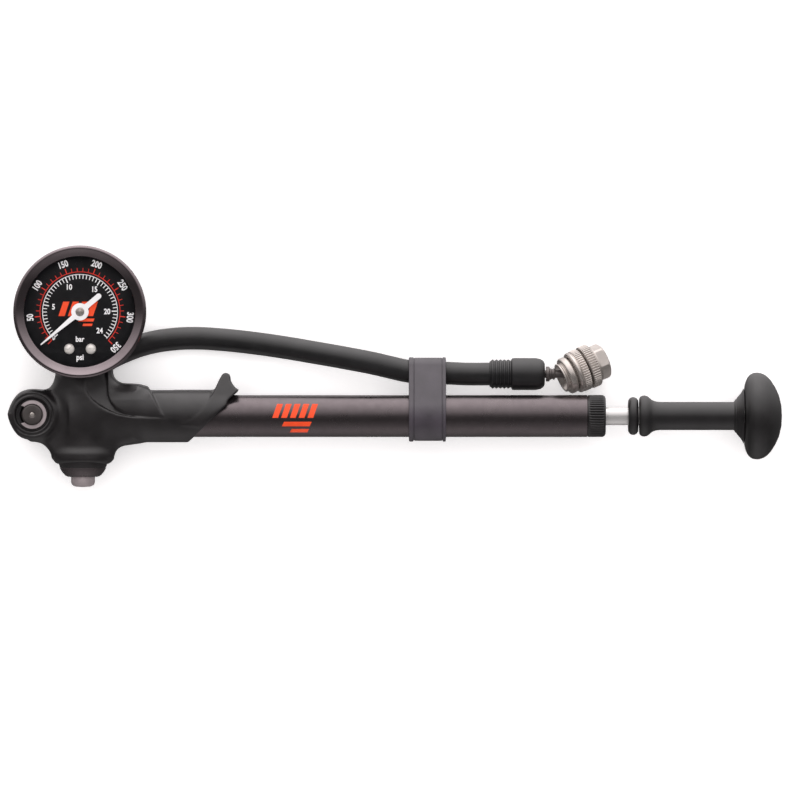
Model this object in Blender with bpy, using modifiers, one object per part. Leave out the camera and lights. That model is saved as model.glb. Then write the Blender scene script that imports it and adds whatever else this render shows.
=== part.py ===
"""Shock suspension pump: a high-pressure hand pump lying on its back.

The design frame has its origin where the gauge's vertical axis meets the
barrel's axis.  +X runs along the barrel to the handle, +Y to the gauge and +Z
out of the dial.  Sizes are in millimetres and become metres through MM.
"""
import math

import bmesh
import bpy
from mathutils import Matrix, Vector

MM = 0.001
GAP = 0.3                     # clearance kept between touching pieces

# Driving dimensions, in millimetres
REST_HEIGHT = 16.5            # barrel axis above the surface that the pump lies on
BARREL_R = 7.0
BARREL_BORE_R = 5.9
BARREL_START = 12.5
BARREL_END = 168.1
SLEEVE_R = 8.7
SADDLE_R = 9.9
COLUMN_R = 8.0
BOSS_X, BOSS_Y, BOSS_R = -16.7, 0.5, 8.3
GAUGE_X, GAUGE_Y = -0.6, 34.6
BEZEL_R = 22.0
CASE_R = 20.8
ROD_R = 3.05
PISTON_X = 21.0               # piston crown, with the handle almost home
KNOB_R = 14.5
KNOB_END = 233.0
BLEED_END = -23.7
HOSE_R = 3.8
HOSE_BACK_Z = -12.4           # hose axis where it passes behind the gauge
HOSE_TIP_Z = -4.0             # hose axis at the strap and beyond
SWIVEL_HEADING = math.radians(36.0)
CRIMP_END = 14.0              # from the swivel's axis to the end of the crimp
BOOT_X, BOOT_Y = 136.0, 14.0
PIVOT = Vector((162.7, 14.0, HOSE_TIP_Z))    # centre of the chuck's ball
CHUCK_TILT = math.radians(23.0)
CHUCK_YAW = math.radians(14.0)
STRAP_X0, STRAP_X1 = 108.6, 121.0
STRAP_HOSE_Y = 14.6
POINTER_ANGLE = math.radians(220.0)
GEAR_MODULE = 0.3
PINION_TEETH = 10
SECTOR_TEETH = 48             # on the full circle that the sector is part of
SECTOR_HEADING = math.radians(-30.0)         # from the arbor to the sector's pivot
SADDLE_SLANT, SLEEVE_SLANT = 118.0, 44.0     # degrees between each sloping end and the barrel
BALL_R = 2.5                  # the nipple's ball
LINER_BORE_R, LINER_R = 2.8, 3.4
CAVITY_R = 3.7                # the chuck's round cavity, in which the liner turns freely

BLACK_CAST = ((0.02, 0.02, 0.021), 0.38, 0.0)
BLACK_PLASTIC = ((0.018, 0.018, 0.019), 0.3, 0.0)
BLACK_RUBBER = ((0.025, 0.025, 0.026), 0.6, 0.0)
ANODISED = ((0.085, 0.07, 0.073), 0.35, 0.8)
STRAP_RUBBER = ((0.16, 0.14, 0.16), 0.6, 0.0)
NICKEL = ((0.72, 0.69, 0.67), 0.25, 1.0)
STEEL = ((0.75, 0.75, 0.74), 0.15, 1.0)
BRASS = ((0.75, 0.55, 0.25), 0.3, 1.0)
LENS = ((0.9, 0.92, 0.93), 0.05, 0.0)
DIAL = ((0.01, 0.01, 0.012), 0.5, 0.0)
WHITE = ((0.85, 0.85, 0.85), 0.4, 0.0)
POLYMER = ((0.8, 0.78, 0.7), 0.5, 0.0)

AXIS_X = Vector((1, 0, 0))
AXIS_Y = Vector((0, 1, 0))
AXIS_Z = Vector((0, 0, 1))


# ---------------------------------------------------------------- helpers

def clear_scene():
    for obj in list(bpy.data.objects):
        bpy.data.objects.remove(obj, do_unlink=True)


def make_collection(name):
    collection = bpy.data.collections.new(name)
    bpy.context.scene.collection.children.link(collection)
    return collection


clear_scene()
PARTS = make_collection("shock_pump")
CUTTERS = make_collection("cutters")
CENTRE_X = (KNOB_END + BOSS_X - BOSS_R) / 2
CENTRE_Y = (GAUGE_Y + BEZEL_R + BLEED_END) / 2
FRAME = bpy.data.objects.new("pump_frame", None)
FRAME.location = (-CENTRE_X * MM, -CENTRE_Y * MM, REST_HEIGHT * MM)
PARTS.objects.link(FRAME)


def finish_material(name, look):
    colour, roughness, metallic = look
    material = bpy.data.materials.new(name)
    material.use_nodes = True
    shader = material.node_tree.nodes["Principled BSDF"]
    shader.inputs["Base Color"].default_value = (*colour, 1.0)
    shader.inputs["Roughness"].default_value = roughness
    shader.inputs["Metallic"].default_value = metallic
    return material


def place(obj, origin, direction=AXIS_Z, roll=0.0):
    """Put local Z along the direction, at an origin in millimetres."""
    turn = Vector(direction).to_track_quat("Z", "Y")
    if Vector(direction).normalized() == AXIS_Z:
        turn = Matrix.Identity(3).to_quaternion()
    obj.rotation_mode = "QUATERNION"
    obj.rotation_quaternion = turn @ Matrix.Rotation(roll, 3, "Z").to_quaternion()
    obj.location = Vector(origin) * MM
    obj.parent = FRAME


def add_object(name, mesh, look):
    """Link a piece (with a look) or a cutter (without one)."""
    obj = bpy.data.objects.new(name, mesh)
    if look is None:
        CUTTERS.objects.link(obj)
        obj.hide_render = True
        obj.display_type = "WIRE"
    else:
        PARTS.objects.link(obj)
        mesh.materials.append(finish_material(name, look))
        mesh.shade_smooth()
        mesh.set_sharp_from_angle(angle=math.radians(35))
    return obj


def turned(name, look, profile, origin, direction=AXIS_Z, steps=20):
    """A lathe piece: (radius, height) points, outer side from top to bottom.

    A profile that starts and ends on the axis is solid, any other is a ring.
    """
    mesh = bpy.data.meshes.new(name)
    verts = [(radius * MM, 0, height * MM) for radius, height in profile]
    edges = [(i, i + 1) for i in range(len(verts) - 1)]
    if profile[0][0] > 0 or profile[-1][0] > 0:
        edges.append((len(verts) - 1, 0))
    mesh.from_pydata(verts, edges, [])
    obj = add_object(name, mesh, look)
    screw = obj.modifiers.new("turn", "SCREW")
    screw.steps = steps
    screw.render_steps = steps
    screw.use_merge_vertices = True
    screw.merge_threshold = 0.000001
    place(obj, origin, direction)
    return obj


def cylinder(name, look, radius, start, end, steps=20):
    """A plain round bar between two points in millimetres."""
    start, end = Vector(start), Vector(end)
    length = (end - start).length
    profile = [(0, length), (radius, length), (radius, 0), (0, 0)]
    return turned(name, look, profile, start, end - start, steps)


def box(name, look, low, high):
    low, high = Vector(low), Vector(high)
    mesh = bpy.data.meshes.new(name)
    shape = bmesh.new()
    bmesh.ops.create_cube(shape, size=1.0)
    bmesh.ops.scale(shape, vec=(high - low) * MM, verts=shape.verts)
    shape.to_mesh(mesh)
    shape.free()
    obj = add_object(name, mesh, look)
    place(obj, (low + high) / 2)
    return obj


def mesh_of(curve_obj):
    """Turn a curve object into a closed mesh with welded caps."""
    bpy.context.view_layer.update()
    evaluated = curve_obj.evaluated_get(bpy.context.evaluated_depsgraph_get())
    mesh = bpy.data.meshes.new_from_object(evaluated)
    shape = bmesh.new()
    shape.from_mesh(mesh)
    bmesh.ops.remove_doubles(shape, verts=shape.verts, dist=0.000002)
    bmesh.ops.recalc_face_normals(shape, faces=shape.faces)
    shape.to_mesh(mesh)
    shape.free()
    bpy.data.objects.remove(curve_obj)
    return mesh


def plate(name, look, outlines, half_thickness, origin, direction=AXIS_Z, roll=0.0):
    """A flat outline, with holes as further outlines, made solid both ways."""
    curve = bpy.data.curves.new(name, "CURVE")
    curve.dimensions = "2D"
    curve.fill_mode = "BOTH"
    curve.extrude = half_thickness * MM
    for outline in outlines:
        spline = curve.splines.new("POLY")
        spline.points.add(len(outline) - 1)
        for point, (x, y) in zip(spline.points, outline):
            point.co = (x * MM, y * MM, 0, 1)
        spline.use_cyclic_u = True
    flat = bpy.data.objects.new(name + "_outline", curve)
    PARTS.objects.link(flat)
    mesh = mesh_of(flat)
    mesh.name = name
    obj = add_object(name, mesh, look)
    place(obj, origin, direction, roll)
    return obj


def tube(name, look, route, radius, resolution=2):
    """A solid round cord along a route in millimetres."""
    curve = bpy.data.curves.new(name, "CURVE")
    curve.dimensions = "3D"
    curve.bevel_depth = radius * MM
    curve.bevel_resolution = resolution
    curve.use_fill_caps = True
    curve.resolution_u = 1
    curve.render_resolution_u = 0
    spline = curve.splines.new("POLY")
    spline.points.add(len(route) - 1)
    for point, place_mm in zip(spline.points, route):
        point.co = (*(Vector(place_mm) * MM), 1)
    obj = bpy.data.objects.new(name, curve)
    PARTS.objects.link(obj)
    curve.materials.append(finish_material(name, look))
    obj.parent = FRAME
    return obj


def join(obj, *others):
    for other in others:
        boolean(obj, other, "UNION")


def cut(obj, *others):
    for other in others:
        boolean(obj, other, "DIFFERENCE")


def boolean(obj, other, operation):
    """The exact solver leaves torn edges in the head's crossing bores, the manifold one doesn't."""
    step = obj.modifiers.new(operation.lower(), "BOOLEAN")
    step.operation = operation
    step.solver = "MANIFOLD"
    step.object = other


def arc(centre, radius, start_deg, end_deg, count):
    """Points on an arc, ends included."""
    points = []
    for i in range(count + 1):
        angle = math.radians(start_deg + (end_deg - start_deg) * i / count)
        points.append((centre[0] + radius * math.cos(angle), centre[1] + radius * math.sin(angle)))
    return points


def circle(centre, radius, count):
    return arc(centre, radius, 0, 360, count)[:-1]


def gear_points(teeth, full_teeth, first_angle):
    """Trapezoid teeth on an arc, counter-clockwise; first_angle is the first tooth's centre."""
    pitch_r = GEAR_MODULE * full_teeth / 2
    tip_r = pitch_r + 0.75 * GEAR_MODULE
    root_r = pitch_r - 1.1 * GEAR_MODULE
    step = 2 * math.pi / full_teeth
    points = []
    for i in range(teeth):
        centre = first_angle + i * step
        for share, r in ((-0.27, root_r), (-0.11, tip_r), (0.11, tip_r), (0.27, root_r)):
            angle = centre + share * step
            points.append((r * math.cos(angle), r * math.sin(angle)))
    return points


# ---------------------------------------------------------------- pump head

def head_outline():
    """Front outline of the head's flat web, counter-clockwise from the neck's left."""
    points = [(-8.0, 16.5), (-8.0, 13.8)]
    points += arc((-15.6, 15.2), 7.2, -12, -88, 4)
    points += arc((BOSS_X, BOSS_Y), BOSS_R - 0.2, 92, 266, 8)
    points += arc((-17.8, -16.0), 8.0, 84, 16, 4)
    points += [(-9.8, -13.8), (-8.2, -14.8), (8.2, -14.8), (9.6, -14.1)]
    points += arc((16.2, -14.8), 6.2, 172, 100, 4)
    points += [(18.0, -8.6), (18.0, 9.8), (15.8, 9.8)]
    points += arc((15.8, 18.2), 8.3, 268, 206, 4)
    points.append((8.0, 16.5))
    return points


def leaf_outline():
    """Side outline of the cradle leaf that curls up from the sleeve's end."""
    points = [(33.0, -3.0), (39.6, 1.2), (43.3, 7.4), (45.4, 12.0)]
    points += arc((47.6, 12.9), 1.5, 160, 0, 5)
    points += [(49.7, 10.7), (51.9, 8.7), (50.8, 7.4), (48.0, 4.9), (45.5, 2.4), (43.3, 0.5),
               (39.0, -3.7)]
    return points[::-1]


def make_leaf():
    """A thick leaf that hugs the barrel low down and narrows to its tips."""
    leaf = plate("leaf_form", None, [leaf_outline()], 8.6, (0, 0, 0))
    shape = bmesh.new()
    shape.from_mesh(leaf.data)
    bmesh.ops.triangulate(shape, faces=shape.faces)
    for vert in shape.verts:
        rise = max(0.0, vert.co.y / MM - 4.0) / 10.0
        vert.co.z *= 1.0 - 0.45 * rise
    shape.to_mesh(leaf.data)
    shape.free()
    return leaf


def make_head():
    head = plate("pump_head", BLACK_CAST, [head_outline()], 5.6, (0, 0, 0))
    column = turned("column_form", None, [(0, 17.0), (COLUMN_R, 17.0), (COLUMN_R, -14.0), (7.6, -14.8), (0, -14.8)],
                    (0, 0, 0), AXIS_Y, 26)
    boss = cylinder("boss_form", None, BOSS_R, (BOSS_X, BOSS_Y, -8.2), (BOSS_X, BOSS_Y, 7.6), 26)
    sleeve = cylinder("sleeve_form", None, SLEEVE_R, (-4.0, 0, 0), (48.0, 0, 0), 26)
    saddle = cylinder("saddle_form", None, SADDLE_R, (2.0, 0, 0), (27.0, 0, 0), 26)
    cut(saddle, box("saddle_under", None, (0, -12, -12), (30, 0.6, 12)))
    cut(saddle, slanted_block("saddle_slant", (22.2, 9.0), SADDLE_SLANT))
    cut(sleeve, slanted_block("sleeve_slant", (40.2, -3.7), SLEEVE_SLANT))
    join(head, column, boss, sleeve, saddle, make_leaf())
    cut(head, cylinder("barrel_pocket", None, BARREL_R + GAP, (BARREL_START - GAP, 0, 0), (60, 0, 0), 26))
    cut(head, cylinder("seat_pocket", None, 5.9, (7.7, 0, 0), (BARREL_START, 0, 0)))
    cut(head, cylinder("valve_chamber", None, 2.6, (-2.4, 0, 0), (9.0, 0, 0), 16))
    cut(head, cylinder("gallery", None, 2.2, (0, -12.0, 0), (0, 8.0, 0), 16))
    cut(head, cylinder("bleed_pocket", None, 4.3, (0, -20.0, 0), (0, -8.6, 0), 16))
    cut(head, cylinder("gauge_pocket", None, 5.1, (GAUGE_X, 3.6, 0), (GAUGE_X, 25.0, 0)))
    cut(head, cylinder("gauge_seat", None, BEZEL_R + GAP, (GAUGE_X, GAUGE_Y, -20), (GAUGE_X, GAUGE_Y, 20), 40))
    cut(head, cylinder("swivel_bore", None, 3.9, (BOSS_X, BOSS_Y, -12), (BOSS_X, BOSS_Y, 12)))
    cut(head, cylinder("clip_recess", None, 5.7, (BOSS_X, BOSS_Y, 4.6), (BOSS_X, BOSS_Y, 12)))
    cut(head, cylinder("hose_passage", None, 1.2, (-14.0, 0.5, 0), (0, 0.5, 0), 10))
    return head


def slanted_block(name, point, angle_deg):
    """A cutter that removes what lies to the right of a sloping line seen from the front."""
    block = box(name, None, (0, -40, -15), (60, 40, 15))
    angle = math.radians(angle_deg - 90.0)
    block.rotation_quaternion = Matrix.Rotation(angle, 3, "Z").to_quaternion()
    along = Vector((math.cos(angle), math.sin(angle), 0))
    block.location = (Vector((*point, 0)) + along * 30.0) * MM
    return block


# ---------------------------------------------------------------- barrel and check valve

def make_barrel():
    turned("barrel", ANODISED, [(BARREL_R, BARREL_END), (BARREL_R, BARREL_START), (BARREL_BORE_R, BARREL_START),
                                (BARREL_BORE_R, BARREL_END)], (0, 0, 0), AXIS_X, 26)
    turned("barrel_end_cap", ANODISED, [(6.2, 174.2), (7.0, 173.4), (7.0, 168.6), (6.8, 168.4), (5.6, 168.4),
                                        (5.6, 160.0), (4.9, 160.0), (4.9, 168.2), (3.4, 168.2), (3.4, 174.2)],
           (0, 0, 0), AXIS_X, 20)
    turned("guide_bush", POLYMER, [(4.6, 165.6), (4.6, 160.3), (3.35, 160.3), (3.35, 165.6)], (0, 0, 0), AXIS_X, 16)
    turned("rod_wiper", BLACK_RUBBER, [(4.6, 167.9), (4.6, 165.9), (3.35, 165.9), (3.8, 166.8), (3.35, 167.9)],
           (0, 0, 0), AXIS_X, 16)


def make_check_valve():
    turned("check_seat", BRASS, [(5.6, 12.1), (5.6, 8.0), (2.2, 8.0), (1.1, 9.0), (1.1, 12.1)], (0, 0, 0), AXIS_X, 16)
    ball = bpy.data.meshes.new("check_ball")
    shape = bmesh.new()
    bmesh.ops.create_uvsphere(shape, u_segments=16, v_segments=10, radius=1.9 * MM)
    shape.to_mesh(ball)
    shape.free()
    place(add_object("check_ball", ball, STEEL), (6.35, 0, 0), AXIS_X)
    coil("check_spring", (-2.0, 0, 0), AXIS_X, 1.7, 0.2, 6.0, 4)


def coil(name, start, direction, radius, wire_r, length, turns):
    """A compression spring on a straight axis."""
    points_per_turn = 8
    count = turns * points_per_turn
    turn = Vector(direction).to_track_quat("Z", "Y")
    route = []
    for i in range(count + 1):
        angle = 2 * math.pi * i / points_per_turn
        local = Vector((radius * math.cos(angle), radius * math.sin(angle), wire_r + (length - 2 * wire_r) * i / count))
        route.append(Vector(start) + turn @ local)
    tube(name, STEEL, route, wire_r, 0)


# ---------------------------------------------------------------- bleed valve

def make_bleed_valve():
    bowl = [(8.1, -15.1), (7.9, -16.6), (7.0, -18.4), (5.6, -19.9), (4.9, -20.3)]
    turned("bleed_collar", BLACK_PLASTIC, [(4.0, -8.9), (4.0, -15.1)] + bowl +
           [(4.3, -20.3), (4.3, -15.6), (1.2, -15.6), (1.2, -8.9)], (0, 0, 0), AXIS_Y, 20)
    turned("bleed_button", NICKEL,
           [(4.0, -19.2), (4.0, -22.6), (3.4, -23.2), (2.0, -23.6), (0.0, BLEED_END), (0.0, -21.0), (1.1, -21.0),
            (1.1, -19.2)], (0, 0, 0), AXIS_Y, 16)
    turned("bleed_pin", BRASS, [(0, -7.2), (1.7, -7.2), (1.7, -8.0), (0.75, -8.0), (0.75, -20.7), (0, -20.7)],
           (0, 0, 0), AXIS_Y, 10)
    turned("bleed_seal", BLACK_RUBBER, [(1.7, -8.15), (1.7, -8.8), (0.95, -8.8), (0.95, -8.15)], (0, 0, 0), AXIS_Y, 10)
    coil("bleed_spring", (0, -19.1, 0), AXIS_Y, 2.6, 0.25, 3.3, 3)


# ---------------------------------------------------------------- piston, rod and handle

def make_piston_group():
    crown = PISTON_X
    turned("piston", POLYMER,
           [(5.6, crown + 10), (5.6, crown + 6.5), (3.6, crown + 6.5), (3.6, crown + 3.5), (5.6, crown + 3.5),
            (5.6, crown + 0.6), (5.0, crown), (0, crown), (0, crown + 1.2), (2.5, crown + 1.2), (2.5, crown + 10)],
           (0, 0, 0), AXIS_X, 20)
    turned("piston_seal", BLACK_RUBBER, [(5.6, crown + 6.2), (5.3, crown + 5.0), (5.6, crown + 3.8),
                                         (3.9, crown + 3.8), (3.9, crown + 6.2)], (0, 0, 0), AXIS_X, 20)
    turned("piston_rod", STEEL, [(0, 226.0), (2.3, 226.0), (2.5, 225.6), (2.5, 206.0), (ROD_R, 206.0),
                                 (ROD_R, crown + 10.3), (2.2, crown + 10.3), (2.2, crown + 1.6), (0, crown + 1.6)],
           (0, 0, 0), AXIS_X, 20)
    turned("top_out_bumper", BLACK_RUBBER, [(5.2, crown + 13.6), (5.2, crown + 10.6), (3.35, crown + 10.6),
                                            (3.35, crown + 13.6)], (0, 0, 0), AXIS_X, 16)
    ring = [(r, x) for x, r in arc((183.4, 4.6), 1.75, 90 - 80, 90 + 80, 6)]
    turned("bumper_ring", BLACK_RUBBER, ring + [(3.35, 181.8), (3.35, 185.0)], (0, 0, 0), AXIS_X, 20)


def make_handle():
    turned("handle_grip", BLACK_PLASTIC,
           [(9.4, 220.2), (7.6, 219.2), (6.2, 218.1), (5.45, 217.4), (4.8, 217.1), (4.7, 216.6), (4.7, 191.5), (5.3, 189.6),
            (6.6, 188.3), (6.9, 187.1), (6.6, 186.0), (6.1, 185.4), (3.35, 185.4), (3.35, 206.3), (2.8, 206.3),
            (2.8, 220.2)], (0, 0, 0), AXIS_X, 20)
    dome = [(r, x) for x, r in ((KNOB_END, 0.0), (232.7, 3.6), (231.9, 6.8), (230.7, 9.5), (229.2, 12.0),
                                (227.4, 13.9), (225.6, KNOB_R - 0.1), (224.4, KNOB_R), (223.0, 14.2),
                                (221.8, 13.3), (220.9, 11.6), (220.5, 10.0))]
    turned("handle_knob", BLACK_PLASTIC, dome + [(4.7, 220.5), (4.7, 228.6), (0, 228.6)], (0, 0, 0), AXIS_X, 26)
    turned("knob_insert", BRASS, [(4.4, 228.3), (4.4, 221.0), (2.8, 221.0), (2.8, 226.4), (0, 226.4), (0, 228.3)],
           (0, 0, 0), AXIS_X, 16)


# ---------------------------------------------------------------- pressure gauge

def make_gauge_shell():
    centre = (GAUGE_X, GAUGE_Y, 0)
    case = turned("gauge_case", BLACK_CAST, [(CASE_R, 12.4), (CASE_R, -7.7), (CASE_R - 0.8, -8.5), (0, -8.5), (0, -7.5),
                                             (CASE_R - 1.0, -7.5), (CASE_R - 1.0, 12.4)], centre, AXIS_Z, 32)
    cut(case, cylinder("stem_hole", None, 5.6, (GAUGE_X, 8.0, 0), (GAUGE_X, 20.0, 0), 16))
    rim = [(18.9, 16.0), (20.6, 16.0), (21.6, 15.4), (BEZEL_R, 14.4), (BEZEL_R, 9.8), (21.7, 9.5), (21.1, 9.5),
           (21.1, 14.7), (18.9, 14.7)]
    turned("gauge_bezel", BLACK_CAST, rim, centre, AXIS_Z, 36)
    turned("gauge_lens", LENS, [(0, 14.3), (20.7, 14.3), (20.7, 12.8), (0, 12.8)], centre, AXIS_Z, 32)
    screws = [(side * 3.6, -12.3) for side in (-1, 1)]
    plate("gauge_dial", DIAL, [circle((0, 0), 19.5, 48), circle((0, 0), 1.1, 12)[::-1]] +
          [circle(spot, 1.1, 12)[::-1] for spot in screws], 0.3, (GAUGE_X, GAUGE_Y, 10.3))
    for side, (x, y) in zip(("left", "right"), screws):
        turned("dial_screw_" + side, NICKEL, [(0, 11.7), (1.2, 11.6), (1.75, 11.2), (1.75, 10.9), (0.75, 10.9),
                                              (0.75, 4.2), (0, 4.2)], (GAUGE_X + x, GAUGE_Y + y, 0), AXIS_Z, 10)


def make_gauge_socket():
    """Brass socket: block inside the case, threaded stem down into the head."""
    block = box("gauge_socket", BRASS, (GAUGE_X - 5.6, GAUGE_Y - 18.6, -4.2), (GAUGE_X + 5.6, GAUGE_Y - 10.8, 6.5))
    join(block, cylinder("stem_form", None, 4.8, (GAUGE_X, 5.6, 0), (GAUGE_X, GAUGE_Y - 18.0, 0), 18))
    for side in (-1, 1):
        cut(block, cylinder(f"screw_hole_{side + 1}", None, 1.05, (GAUGE_X + side * 3.6, GAUGE_Y - 12.3, 3.6),
                            (GAUGE_X + side * 3.6, GAUGE_Y - 12.3, 9.0), 8))
    cut(block, cylinder("stem_bore", None, 1.3, (GAUGE_X, 0.0, 0), (GAUGE_X, GAUGE_Y - 13.0, 0), 8))
    turned("gauge_seal", BLACK_RUBBER, [(4.6, 5.3), (4.8, 4.6), (4.6, 3.9), (2.4, 3.9), (2.4, 5.3)],
           (GAUGE_X, 0, 0), AXIS_Y, 16)


def make_movement():
    centre = (GAUGE_X, GAUGE_Y, 0)
    bourdon = arc((0, 0), 15.6, -15, 236, 32) + arc((0, 0), 13.6, 236, -15, 32)
    plate("bourdon_tube", BRASS, [bourdon], 2.4, centre)
    plate_outline = [(-7.5, -9.5), (-4.0, -10.4), (4.0, -10.4), (10.0, -7.0), (10.0, -1.0), (6.0, 6.0), (-6.0, 6.0),
                     (-7.5, 3.0)]
    plate("movement_front_plate", BRASS, [plate_outline, circle((0, 0), 0.9, 12)[::-1]], 0.4,
          (GAUGE_X, GAUGE_Y, 6.4))
    rear = plate("movement_rear_plate", BRASS, [plate_outline], 0.4, (GAUGE_X, GAUGE_Y, -2.0))
    for i, (x, y) in enumerate(((-6.0, -8.0), (-4.5, 4.5), (3.5, 4.8))):
        join(rear, cylinder(f"pillar_{i}", None, 0.8, (GAUGE_X + x, GAUGE_Y + y, -2.0),
                            (GAUGE_X + x, GAUGE_Y + y, 5.7), 8))
    spacing = GEAR_MODULE * (PINION_TEETH + SECTOR_TEETH) / 2 + 0.06
    pivot = (spacing * math.cos(SECTOR_HEADING), spacing * math.sin(SECTOR_HEADING))
    mesh_angle = SECTOR_HEADING + math.pi              # from the sector's pivot to the arbor
    tooth = 2 * math.pi / SECTOR_TEETH
    count = 10
    first = mesh_angle - (count - 1.5) * tooth
    teeth = gear_points(count, SECTOR_TEETH, first)
    reach = [(1.2 * math.cos(a), 1.2 * math.sin(a)) for a in (mesh_angle + 0.9, mesh_angle + 1.6)]
    tail_angle = math.radians(-10)
    tail = [(r * math.cos(tail_angle + turn), r * math.sin(tail_angle + turn))
            for r, turn in ((1.2, -0.9), (3.9, -0.22), (3.9, 0.22), (1.2, 0.9))]
    sector = plate("sector_gear", BRASS, [teeth + reach + tail], 0.5,
                   (GAUGE_X + pivot[0], GAUGE_Y + pivot[1], 3.6))
    join(sector, cylinder("sector_arbor", None, 0.55, (GAUGE_X + pivot[0], GAUGE_Y + pivot[1], -1.3),
                          (GAUGE_X + pivot[0], GAUGE_Y + pivot[1], 5.7), 8))
    link_a = Vector((pivot[0] + 3.2 * math.cos(tail_angle), pivot[1] + 3.2 * math.sin(tail_angle)))
    link_b = Vector((14.6 * math.cos(math.radians(-11)), 14.6 * math.sin(math.radians(-11))))
    side = (link_b - link_a).normalized().orthogonal() * 0.7
    bar = [link_a - side, link_b - side, link_b + side, link_a + side]
    origin = link_a
    plate("tip_link", STEEL, [[tuple(p - origin) for p in bar]], 0.25,
          (GAUGE_X + origin.x, GAUGE_Y + origin.y, 4.7))
    arbor = plate("pinion_arbor", STEEL, [gear_points(PINION_TEETH, PINION_TEETH, SECTOR_HEADING)], 0.8,
                  (GAUGE_X, GAUGE_Y, 3.6))
    join(arbor, turned("arbor_form", None, [(0, 12.2), (0.5, 12.2), (0.5, 5.2), (0.6, 5.2), (0.6, -1.3), (0, -1.3)],
                       centre, AXIS_Z, 8))


def pointer_outline():
    """A slim tapering hand along +X with a round-ended counterweight behind."""
    points = [(17.1, 0.0), (16.2, 0.25), (2.6, 0.75)]
    points += arc((0, 0), 2.9, 18, 160, 8)
    points += [(-4.0, 0.9)] + arc((-8.1, 0), 0.95, 90, 270, 5) + [(-4.0, -0.9)]
    points += arc((0, 0), 2.9, 200, 342, 8)
    points += [(2.6, -0.75), (16.2, -0.25)]
    return points


def make_pointer():
    hole = circle((0, 0), 0.8, 12)[::-1]
    plate("gauge_pointer", WHITE, [pointer_outline(), hole], 0.2, (GAUGE_X, GAUGE_Y, 11.7), AXIS_Z, POINTER_ANGLE)


# ---------------------------------------------------------------- hose swivel

def swivel_point(reach):
    return (BOSS_X + reach * math.cos(SWIVEL_HEADING), BOSS_Y + reach * math.sin(SWIVEL_HEADING), HOSE_BACK_Z)


def make_swivel():
    elbow = turned("swivel_elbow", NICKEL,
                   [(0, 6.9), (3.1, 6.9), (3.6, 6.4), (3.6, 6.0), (2.9, 6.0), (2.9, 4.9), (3.6, 4.9), (3.6, 4.0),
                    (2.7, 4.0), (2.7, 2.4), (3.6, 2.4), (3.6, 1.4), (2.9, 0.9), (2.9, -0.9), (3.6, -1.4), (3.6, -2.4),
                    (2.7, -2.4), (2.7, -4.0), (3.6, -4.0), (3.6, -8.5), (5.9, -8.5), (6.5, -9.1), (6.5, -15.9),
                    (5.9, -REST_HEIGHT), (0, -REST_HEIGHT)], (BOSS_X, BOSS_Y, 0), AXIS_Z, 18)
    join(elbow, cylinder("barb_form", None, 2.6, swivel_point(3.0), swivel_point(CRIMP_END - 1.0), 14))
    cut(elbow, cylinder("stem_passage", None, 1.2, (BOSS_X, BOSS_Y, -HOSE_R * 4), (BOSS_X, BOSS_Y, 1.0), 8))
    cut(elbow, cylinder("cross_passage", None, 0.8, (BOSS_X - 6.0, BOSS_Y, 0.1), (BOSS_X + 6.0, BOSS_Y, 0.1), 8))
    cut(elbow, cylinder("barb_passage", None, 1.2, swivel_point(0.0), swivel_point(20.0), 8))
    for name, low in (("swivel_seal_front", 2.5), ("swivel_seal_rear", -3.9)):
        turned(name, BLACK_RUBBER, [(3.3, low + 1.4), (3.6, low + 0.7), (3.3, low), (3.0, low), (3.0, low + 1.4)],
               (BOSS_X, BOSS_Y, 0), AXIS_Z, 16)
    gap_half = 38.0
    clip = arc((0, 0), 5.2, gap_half, 360 - gap_half, 24) + arc((0, 0), 3.15, 360 - gap_half * 1.4, gap_half * 1.4, 20)
    plate("retaining_clip", NICKEL, [clip], 0.25, (BOSS_X, BOSS_Y, 5.45), AXIS_Z, math.radians(180))
    ring_start, ring_end = Vector(swivel_point(7.6)), Vector(swivel_point(CRIMP_END))
    length = (ring_end - ring_start).length
    turned("hose_crimp", NICKEL, [(3.7, length), (4.1, length - 0.4), (4.1, 0.4), (3.7, 0.0), (2.9, 0.0), (2.9, length)],
           ring_start, ring_end - ring_start, 16)


# ---------------------------------------------------------------- hose and its boot

HOSE_ROUTE = [(2.0, 14.6), (8.0, 18.9), (14.0, 21.8), (21.0, 24.2), (29.0, 25.6), (37.0, 26.0), (45.0, 25.6),
              (55.7, 24.5), (66.3, 23.0), (77.0, 21.2), (87.7, 19.3), (97.0, 17.5), (103.0, 16.1), (108.6, 14.9),
              (114.5, 14.5), (121.0, 14.3), (128.0, 14.0)]
HOSE_LIFT_START, HOSE_LIFT_END = 42.0, 104.0


def hose_height(x):
    """The hose leaves the surface behind the gauge and rises to the strap."""
    share = min(1.0, max(0.0, (x - HOSE_LIFT_START) / (HOSE_LIFT_END - HOSE_LIFT_START)))
    return HOSE_BACK_Z + (HOSE_TIP_Z - HOSE_BACK_Z) * share * share * (3 - 2 * share)


def hose_points():
    start = Vector(swivel_point(CRIMP_END + GAP))
    points = [start, Vector(swivel_point(CRIMP_END + 4.0))]
    points += [Vector((x, y, hose_height(x))) for x, y in HOSE_ROUTE]
    points.append(Vector((BOOT_X - GAP, BOOT_Y, HOSE_TIP_Z)))
    return points


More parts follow.
